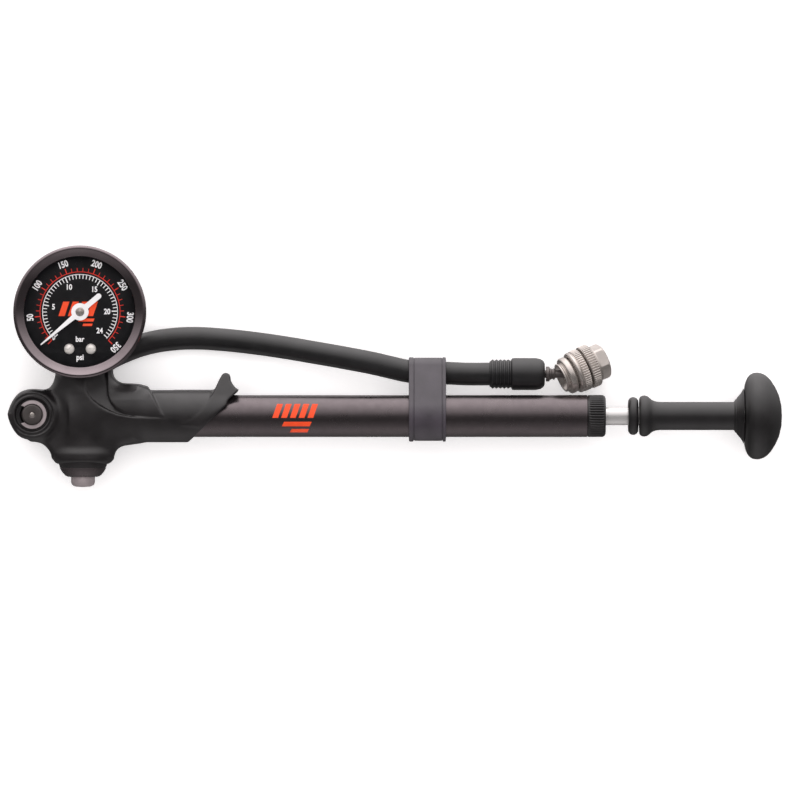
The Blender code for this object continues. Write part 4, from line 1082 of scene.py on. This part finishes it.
class PUMP_OT_bleed_valve(bpy.types.Operator):
    """Bleed bowl under the head, a lighter ring on its lower rim that paints in the bowl's crescent highlight, and
    its push button
    """
    bl_idname = "pump.bleed_valve"
    bl_label = "Bleed valve"

    def execute(self, context):
        bowl = [(4.0, -8.9), (4.0, -14.9), (7.9, -14.9), (8.1, -15.3), (8.0, -16.2), (7.6, -17.3), (6.9, -18.5),
                (5.9, -19.6), (5.1, -20.2), (4.6, -20.3), (4.3, -20.0), (4.3, -15.6), (1.2, -15.6), (1.2, -8.9)]
        turned("bleed_bowl", bowl, 0.25, 96, "gauge", "root", ("bleed_collar",), axis=AXIS_Y)
        # lighter, metallic ring on the bowl's lower rim: a painted highlight that stands in for the crescent
        # reflection on the glossy black bowl
        ring = [(7.7, -17.4), (7.0, -18.6), (6.0, -19.75), (5.2, -20.2), (5.0, -19.7), (5.6, -19.2), (6.5, -18.2),
                (7.1, -17.2)]
        turned("bleed_bowl_highlight_ring", ring, 0.15, 96, "anodised", "root", axis=AXIS_Y)
        button = [(4.0, -19.2), (4.0, -21.9), (3.85, -22.6), (3.4, -23.15), (2.4, -23.55), (0.0, -23.7),
                  (0.0, -21.0), (3.15, -21.0), (3.15, -19.2)]
        turned("bleed_push_button", button, 0.25, 72, "satin_nickel", "bleed_button", ("bleed_button",),
               axis=AXIS_Y)
        return {"FINISHED"}


class PUMP_OT_plunger(bpy.types.Operator):
    """Rod, bumper ring, waisted grip and mushroom knob"""
    bl_idname = "pump.plunger"
    bl_label = "Plunger"

    def execute(self, context):
        rod = [(0, 226.0), (2.3, 226.0), (2.5, 225.6), (2.5, 206.0), (3.05, 206.0), (3.05, 31.3), (2.2, 31.3),
               (2.2, 22.6), (0, 22.6)]
        turned("polished_rod", rod, 0.12, 96, "steel", "plunger", ("piston_rod",), axis=AXIS_X)
        ring = [(r, x) for x, r in arc((183.4, 4.6), 1.72, 10, 170, 16)]
        ring += [(3.35, 181.75), (3.35, 185.05)]
        turned("bumper_torus", ring, 0.1, 96, "handle", "plunger", ("bumper_ring",), axis=AXIS_X)
        grip = [(9.4, 220.2), (8.5, 219.8), (7.5, 219.2), (6.7, 218.5), (6.1, 218.0), (5.6, 217.7), (5.45, 217.3),
                (4.8, 217.1), (4.7, 216.6), (4.7, 192.4), (4.85, 191.0), (5.3, 189.7), (6.1, 188.8), (6.65, 188.1),
                (6.9, 187.2), (6.75, 186.2), (6.3, 185.6), (5.8, 185.4), (3.35, 185.4), (3.35, 206.3), (2.8, 206.3),
                (2.8, 220.2)]
        turned("grip_turned", grip, 0.5, 96, "handle", "plunger", ("handle_grip",), axis=AXIS_X)
        dome = [(0, 233.0), (3.6, 232.75), (6.8, 232.0), (9.5, 230.8), (12.0, 229.2), (13.6, 227.6), (14.35, 225.9),
                (14.5, 224.6), (14.3, 223.2), (13.6, 222.1), (12.6, 221.35), (11.4, 220.85), (10.0, 220.5)]
        knob = dome + [(4.7, 220.5), (4.7, 228.6), (0, 228.6)]
        turned("knob_domed", knob, 0.8, 128, "handle", "plunger", ("handle_knob",), axis=AXIS_X)
        return {"FINISHED"}


class PUMP_OT_strap(bpy.types.Operator):
    """Rubber strap round the barrel and the hose, with raised rims"""
    bl_idname = "pump.strap"
    bl_label = "Strap"

    def execute(self, context):
        hose = Vector((14.6, PIVOT.z))
        lean = math.degrees(math.atan2(hose.y, hose.x))

        def hull(barrel_r, hose_r):
            spread = math.degrees(math.acos((barrel_r - hose_r) / hose.length))
            points = arc((0, 0), barrel_r, lean + spread, lean + 360 - spread, 72)
            return points + arc(tuple(hose), hose_r, lean - spread, lean + spread, 40)

        # x, and the share of the band's thickness that the surface stands out by; 0 is the inner face
        section = [(108.6, 0.12), (108.7, 0.9), (109.0, 1.0), (109.9, 1.0), (110.15, 0.86), (110.2, 0.62),
                   (110.45, 0.62), (110.55, 0.78), (112.0, 0.8), (118.2, 0.8), (119.55, 0.78), (119.65, 0.62),
                   (119.85, 0.62), (119.9, 0.86), (120.1, 1.0), (120.65, 1.0), (120.9, 0.9), (121.0, 0.12),
                   (120.9, 0.0), (108.7, 0.0)]
        loops = [hull(7.3 + 1.25 * share, 4.3 + 0.7 * share) for _, share in section]
        shape = bmesh.new()
        rings = [[shape.verts.new((x, y, z)) for y, z in loop] for (x, _), loop in zip(section, loops)]
        for a, b in zip(rings, rings[1:] + rings[:1]):
            for k in range(len(a)):
                n = (k + 1) % len(a)
                shape.faces.new((a[k], a[n], b[n], b[k]))
        add_piece("strap_band", to_mesh("strap_band", shape), finish("strap"), "strap",
                  ("hose_strap",))
        return {"FINISHED"}


class PUMP_OT_inner_parts(bpy.types.Operator):
    """Finishes for the CAD pieces that stay as they are inside the pump"""
    bl_idname = "pump.inner_parts"
    bl_label = "Inner parts"

    LOOKS = {
        "steel": ("check_ball", "check_spring", "bleed_spring", "pinion_arbor", "tip_link"),
        "gunmetal": ("gauge_socket",),
        "brass": ("check_seat", "bourdon_tube", "movement_front_plate", "movement_rear_plate",
                  "sector_gear", "bleed_pin", "knob_insert", "depressor_pin"),
        "polymer": ("guide_bush", "piston", "ball_liner"),
        "seal": ("piston_seal", "rod_wiper", "top_out_bumper", "gauge_seal", "swivel_seal_front",
                 "swivel_seal_rear", "valve_seal", "bleed_seal"),
    }

    def execute(self, context):
        for look, names in self.LOOKS.items():
            for name in names:
                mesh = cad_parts[name].data
                mesh.materials.clear()
                mesh.materials.append(finish(look))
        return {"FINISHED"}


class VIEW3D_PT_pump(bpy.types.Panel):
    """Lists the pump's settings and the buttons that build its pieces"""
    bl_idname = "VIEW3D_PT_pump"
    bl_label = "Shock pump"
    bl_space_type = "VIEW_3D"
    bl_region_type = "UI"
    bl_category = "Shock pump"

    def draw(self, context):
        layout = self.layout
        for group in (context.scene.pump_sizes, context.scene.pump_colours):
            box = layout.box()
            for name in group.__annotations__:
                box.prop(group, name)
        for operator in OPERATORS:
            layout.operator(operator.bl_idname)


OPERATORS = (PUMP_OT_stage, PUMP_OT_hose, PUMP_OT_head, PUMP_OT_barrel, PUMP_OT_gauge_shell, PUMP_OT_dial,
             PUMP_OT_pointer, PUMP_OT_bleed_valve, PUMP_OT_plunger, PUMP_OT_strap, PUMP_OT_inner_parts)
CLASSES = (PumpSizes, PumpColours, *OPERATORS, VIEW3D_PT_pump)


def register():
    for cls in CLASSES:
        bpy.utils.register_class(cls)
    bpy.types.Scene.pump_sizes = PointerProperty(type=PumpSizes)
    bpy.types.Scene.pump_colours = PointerProperty(type=PumpColours)


def unregister():
    del bpy.types.Scene.pump_colours
    del bpy.types.Scene.pump_sizes
    for cls in reversed(CLASSES):
        bpy.utils.unregister_class(cls)


def main():
    register()
    bpy.ops.pump.stage()
    bpy.ops.pump.hose()
    bpy.ops.pump.head()
    bpy.ops.pump.barrel()
    bpy.ops.pump.gauge_shell()
    bpy.ops.pump.dial()
    bpy.ops.pump.pointer()
    bpy.ops.pump.bleed_valve()
    bpy.ops.pump.plunger()
    bpy.ops.pump.strap()
    bpy.ops.pump.inner_parts()


if __name__ == "__main__":
    main()
